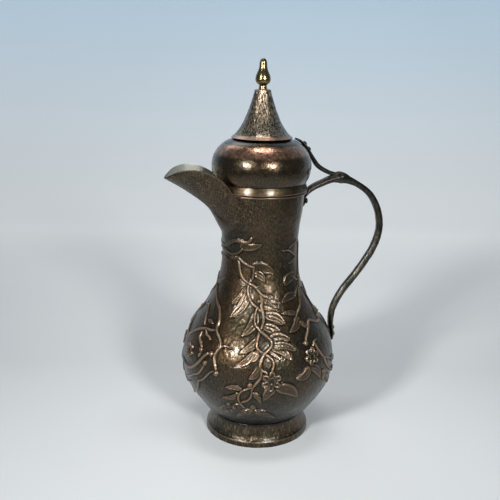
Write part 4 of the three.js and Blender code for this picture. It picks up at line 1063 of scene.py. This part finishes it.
def forged_bar(stations, rings, seed):
    """A bar of six-sided section with rounded corners and hammer dents."""
    middle, outward, half, thick = bar_course(stations, rings)
    corners = np.array([(1, 0.14), (1 - RIDGE, 1), (RIDGE - 1, 1), (-1, 0.14),
                        (-1, -0.14), (RIDGE - 1, -1), (1 - RIDGE, -1), (1, -0.14)])
    section = []
    for before, here, after in zip(np.roll(corners, 1, 0), corners, np.roll(corners, -1, 0)):
        reach = 0.16 if abs(here[1]) == 1 else 0.3
        start, end = here + (before - here) * reach, here + (after - here) * reach
        for t in (0, 0.3, 0.7, 1):
            section.append(start * (1 - t) ** 2 + 2 * here * t * (1 - t) + end * t * t)
        section.append((here + after) / 2)
    section = np.array(section)
    grid = (middle[:, None] + np.array([0, 1.0, 0]) * (section[None, :, :1] * half[:, None, None])
            + outward[:, None] * (section[None, :, 1:] * thick[:, None, None]))
    flat = grid.reshape(-1, 3)
    dent = 0.16 * grain(flat, (6, 6, 6), seed) + 0.08 * grain(flat, (2.2, 2.2, 2.2), seed + 1) - 0.2
    towards = middle[:, None] - grid
    towards /= np.linalg.norm(towards, axis=-1, keepdims=True)
    grid = grid - towards * dent.reshape(grid.shape[:2])[..., None]
    return blank(*capped_tube(grid, inward=True))


def cylinder(centre, along, across, low, high, radius, facets):
    """A round blank from low to high along a direction; across points to its first vertex."""
    turn = np.linspace(0, 2 * math.pi, facets, endpoint=False)[:, None]
    ring = centre + (np.cos(turn) * across + np.sin(turn) * np.cross(across, along)) * radius
    return blank(*capped_tube(np.stack([ring + np.multiply(along, end) for end in (low, high)])))


def hinge_bar(radius, length):
    """A round blank along the hinge's axis."""
    return cylinder((HINGE_X, 0, HINGE_Z), (0, 1, 0), (1, 0, 0), -length / 2, length / 2, radius, 64)


def rivet_holes(through):
    """Blanks for the holes of one body's rivets."""
    for _, _, body, x, z, tilt, grip, radius, _, _ in RIVETS:
        if body == through:
            c, s = math.cos(tilt), math.sin(tilt)
            yield cylinder((x, 0, z), (c, 0, s), (-s, 0, c), -grip - 6, 8, radius + PLAY, 24)


def slot_block(x0, x1, y, z0, z1):
    """A box as wide as the slot for the strap, y being half of its width."""
    points = np.array([(x, s * y, z) for x in (x0, x1) for s in (-1, 1) for z in (z0, z1)], float)
    faces = [(0, 1, 3, 2), (4, 6, 7, 5), (0, 4, 5, 1), (2, 3, 7, 6), (0, 2, 6, 4), (1, 5, 7, 3)]
    return blank(points, faces)


def turned_blank(outline):
    return blank(*revolved(outline, 180))


def dress(obj, name, stations, rings, body, node):
    """Finishes a cut bar: rubbed along its ridges, and darker on its flats and in its cuts, the dark being
    painted shade.
    """
    obj.name = obj.data.name = name
    points = np.array([v.co for v in obj.data.vertices]) / MM - AXIS
    middle, outward, half, thick = bar_course(stations, rings)
    nearest = ((points[:, None] - middle) ** 2).sum(-1).argmin(1)
    w = np.abs(points[:, 1]) / half[nearest]
    h = np.abs(((points - middle[nearest]) * outward[nearest]).sum(-1)) / thick[nearest]
    side_ridge = peak(w, 1, 0.06) * (h < 0.5)
    face_ridge = peak(h, 1, 0.10) * peak(w, 1 - RIDGE, 0.12)
    worn = np.clip(0.8 * side_ridge + 0.7 * face_ridge, 0, 0.9) * (0.8 + 0.3 * grain(points, (9, 9, 9), 61))
    # Faces cut inside the bar's section, against the jug, the slot and the holes, are painted darker as
    # shade
    deep = np.clip(1 - np.maximum(w, h) * 1.35, 0, 0.9)
    for key, value in (("worn", np.clip(worn, 0, 1)), ("deep", deep)):
        attribute = obj.data.attributes.new(key, "FLOAT", "POINT")
        attribute.data.foreach_set("value", value.astype(np.float32))
    obj.data.materials.clear()
    obj.data.materials.append(FORGED)
    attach(obj, body)
    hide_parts(node)


# The handle: cut to the belly and the rim, slotted for the strap, and drilled
belly_rings = resampled(belly_line, 1.5)
way = np.gradient(belly_rings, axis=0)
way /= np.linalg.norm(way, axis=1, keepdims=True)
belly_rings += np.stack([way[:, 1], -way[:, 0]], -1) * 0.3
HANDLE_RINGS = 420
handle = forged_bar(HANDLE, HANDLE_RINGS, 55)
boolean(
    handle, "DIFFERENCE",
    turned_blank(np.vstack([[(0, 19.2)], belly_rings, [(0, RIM_HEIGHT + 1)]])),
    turned_blank([(0, 265.8), (48.6, 265.8), (48.6, 283.1), (0, 283.1)]),
    slot_block(73, 92.4, 2.8, 275.0, 291.5),
    hinge_bar(1.7, 20),
    *rivet_holes("jug"),
)
dress(handle, "handle_forged", HANDLE, HANDLE_RINGS, "jug", "handle")

# The lid's strap, with its eye, cut to the dome and drilled
STRAP_RINGS = 160
strap = forged_bar(STRAP, STRAP_RINGS, 71)
boolean(strap, "UNION", hinge_bar(4.2, 5))
boolean(
    strap, "DIFFERENCE",
    turned_blank(np.vstack([[(0, 277.4)], dome_line[::3] + [0.3, 0.2], [(0, 327.2)]])),
    hinge_bar(1.7, 8),
    *rivet_holes("lid"),
)
dress(strap, "lid_strap_forged", STRAP, STRAP_RINGS, "lid", "lid_strap")


# Rivets and the hinge pin

def rivet(name, node, body, x, z, tilt, grip, radius, head, dome):
    """A rivet with a domed head outside and a flat one inside the sheet that it grips."""
    inside = -grip - 0.45
    line = trace((0, inside - 1), (head * 0.8, inside - 1), (head * 0.9, inside - 0.8),
                 (head * 0.9, inside), (radius, inside), (radius, 0.3), (head, 0.3), (head, 0.6),
                 (head * 0.98, dome * 0.72, head * 0.6, dome + 0.2, 0, dome + 0.25), count=10)
    points, faces = revolved(line, 40)
    head_wear_and_shade = step(0.4, 1.2, points[:, 2])
    dents = 0.08 * grain(points, (1.4, 1.4, 1.4), 81) - 0.06
    points[:, 2] += dents * (points[:, 2] > 0.7)
    c, s = math.cos(tilt), math.sin(tilt)
    along, side, up = points[:, 2], points[:, 1], -points[:, 0]
    points = np.stack([x + along * c - up * s, side, z + along * s + up * c], -1)
    # The crown is rubbed; below it, on the head's foot, the shank and the inner head, the rivet is painted
    # darker as shade
    values = {"worn": 0.45 * head_wear_and_shade, "deep": 0.6 * (1 - head_wear_and_shade)}
    add_piece(name, points, faces, [FORGED], body, [node], values)


for row in RIVETS:
    rivet(*row)

# The pin's outline from the middle of its head down to its shank: radius, and distance from the middle
pin_half = trace((0, 8.5), (1.2, 8.5, 2.3, 8.35, 2.7, 7.7), (2.7, 7.3), (1.6, 7.3), count=6)
pin_line = np.vstack([pin_half * [1, -1], pin_half[::-1]])
pin_points, pin_faces = revolved(pin_line, 48)
pin_points = np.stack([HINGE_X + pin_points[:, 0], pin_points[:, 2], HINGE_Z - pin_points[:, 1]], -1)
pin_values = {"worn": np.full(len(pin_points), 0.5), "deep": np.zeros(len(pin_points))}
add_piece("pin", pin_points, pin_faces, [FORGED], "jug", ["hinge_pin"], pin_values)

for node, material in (("base_disc", TIN), ("lid_bezel", TIN), ("finial_burr", BRASS)):
    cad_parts[node].data.materials.clear()
    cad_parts[node].data.materials.append(material)


# Floor, light and camera

FLOOR_GREY, BACKDROP_BLUE = (0.64, 0.655, 0.66), (0.5, 0.63, 0.74)


def paper(name):
    """Matt paper, pale grey on the floor and pale blue high up behind, where rays from the camera and
    from polished metal see it as evenly lit. Far off on the other sides only the camera's rays do."""
    s = Shader(name, Metallic=0.0, Specular_IOR_Level=0.2)
    place = s.coordinates()
    tone = s.ramp(s.noise(6, 2), (0.3, 0.98), (0.7, 1.0))
    colour = s.mix(s.ramp(place["Z"], (0.0, 0.0), (0.6, 1.0)), FLOOR_GREY, BACKDROP_BLUE)
    rays = s.node("ShaderNodeLightPath").outputs
    seen = s.maths("MAXIMUM", rays["Is Camera Ray"], rays["Is Glossy Ray"], rays["Is Transmission Ray"])
    behind = s.maths("MULTIPLY", seen, s.ramp(place["Y"], (0.15, 0.0), (0.9, 0.62)))
    distance = s.node("ShaderNodeVectorMath")
    distance.operation = "LENGTH"
    s.put(s.place, distance.inputs[0])
    far = s.ramp(s.maths("MULTIPLY", distance.outputs["Value"], 0.5), (0.3, 0.0), (0.6, 0.55))
    glow = s.maths("MAXIMUM", behind, s.maths("MULTIPLY", rays["Is Camera Ray"], far))
    return s.finish(s.mix(tone, (0, 0, 0), colour), 0.9, Emission_Color=colour, Emission_Strength=glow)


CAMERA_TURN, CAMERA_DOWN, CAMERA_ROLL = -14, 15.15, 1.1
CAMERA_PLACE = Vector((AXIS[0] * MM - 0.1765, -0.7078, 0.4002))

# A floor that sweeps up into a wall behind the jug
SWEEP_FROM, SWEEP_RADIUS, FLOOR_FRONT, WALL_TOP, HALF_WIDTH = 1.0, 0.8, -1.6, 3.2, 3.4
sweep = [(FLOOR_FRONT, 0.0), (SWEEP_FROM, 0.0)]
sweep += [(SWEEP_FROM + SWEEP_RADIUS * math.sin(t), SWEEP_RADIUS * (1 - math.cos(t)))
          for t in np.linspace(0, math.pi / 2, 24)[1:]]
sweep += [(SWEEP_FROM + SWEEP_RADIUS, WALL_TOP)]
floor_mesh = bpy.data.meshes.new("floor")
floor_points = [(x, y, z) for y, z in sweep for x in (-HALF_WIDTH, HALF_WIDTH)]
floor_faces = [(2 * k, 2 * k + 1, 2 * k + 3, 2 * k + 2) for k in range(len(sweep) - 1)]
floor_mesh.from_pydata(floor_points, [], floor_faces)
floor_mesh.materials.append(paper("backdrop_paper"))
floor_mesh.shade_smooth()
floor = bpy.data.objects.new("floor", floor_mesh)
floor.rotation_euler.z = math.radians(CAMERA_TURN)
bpy.context.scene.collection.objects.link(floor)
floor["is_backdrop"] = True

world = bpy.data.worlds.new("studio")
bpy.context.scene.world = world
world.use_nodes = True
# The room's own light is low; looked at past the backdrop, the room shows as pale as the paper.
room_light, room_seen = 0.22, 0.8
sky = world.node_tree
background = sky.nodes["Background"]
background.inputs["Color"].default_value = (0.72, 0.85, 0.93, 1)
look = sky.nodes.new("ShaderNodeLightPath")
strength = sky.nodes.new("ShaderNodeMapRange")
strength.inputs["To Min"].default_value = room_light
strength.inputs["To Max"].default_value = room_seen
sky.links.new(look.outputs["Is Camera Ray"], strength.inputs["Value"])
sky.links.new(strength.outputs["Result"], background.inputs["Strength"])


LAMPS_AIM = 0.17  # height in metres


def softbox(name, azimuth, elevation, distance, width, height, watts, beam):
    """A rectangular lamp aimed at the jug, with a grid that narrows its beam to so many degrees.
    Azimuth 0 is the front (-Y) and turns towards +X."""
    light = bpy.data.lights.new(name, "AREA")
    light.shape = "RECTANGLE"
    light.size, light.size_y = width, height
    light.energy = watts
    light.spread = math.radians(beam)
    lamp = bpy.data.objects.new(name, light)
    a, e = math.radians(azimuth), math.radians(elevation)
    way = Vector((math.sin(a) * math.cos(e), -math.cos(a) * math.cos(e), math.sin(e)))
    lamp.location = Vector((0, 0, LAMPS_AIM)) + way * distance
    lamp.rotation_euler = way.to_track_quat("Z", "Y").to_euler()
    bpy.context.scene.collection.objects.link(lamp)


# Azimuth, elevation, distance, width, height, watts and beam
softbox("left", -49, 23, 1.6, 0.22, 0.22, 2.4, 60)
softbox("right", 10, 22, 1.6, 0.27, 0.21, 2.2, 60)
softbox("top", -14, 87, 1.5, 0.62, 0.3, 1.3, 80)
softbox("back", 195, 50, 1.7, 1.0, 0.8, 0.8, 80)

camera_data = bpy.data.cameras.new("camera")
camera_data.lens = 51.12
camera_data.sensor_width = 36
camera_data.shift_x = -0.0196
camera_data.clip_start = 0.01
camera = bpy.data.objects.new("camera", camera_data)
camera.matrix_world = (
    Matrix.Translation(CAMERA_PLACE)
    @ Matrix.Rotation(math.radians(CAMERA_TURN), 4, "Z")
    @ Matrix.Rotation(math.radians(90 - CAMERA_DOWN), 4, "X")
    @ Matrix.Rotation(math.radians(CAMERA_ROLL), 4, "Z")
)
bpy.context.scene.collection.objects.link(camera)
bpy.context.scene.camera = camera
bpy.context.scene.view_settings.view_transform = "Standard"

dressed_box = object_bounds()
boxes = {"cad": cad_box, "visual": dressed_box}
{key: [list(low), list(high)] for key, (low, high) in boxes.items()}
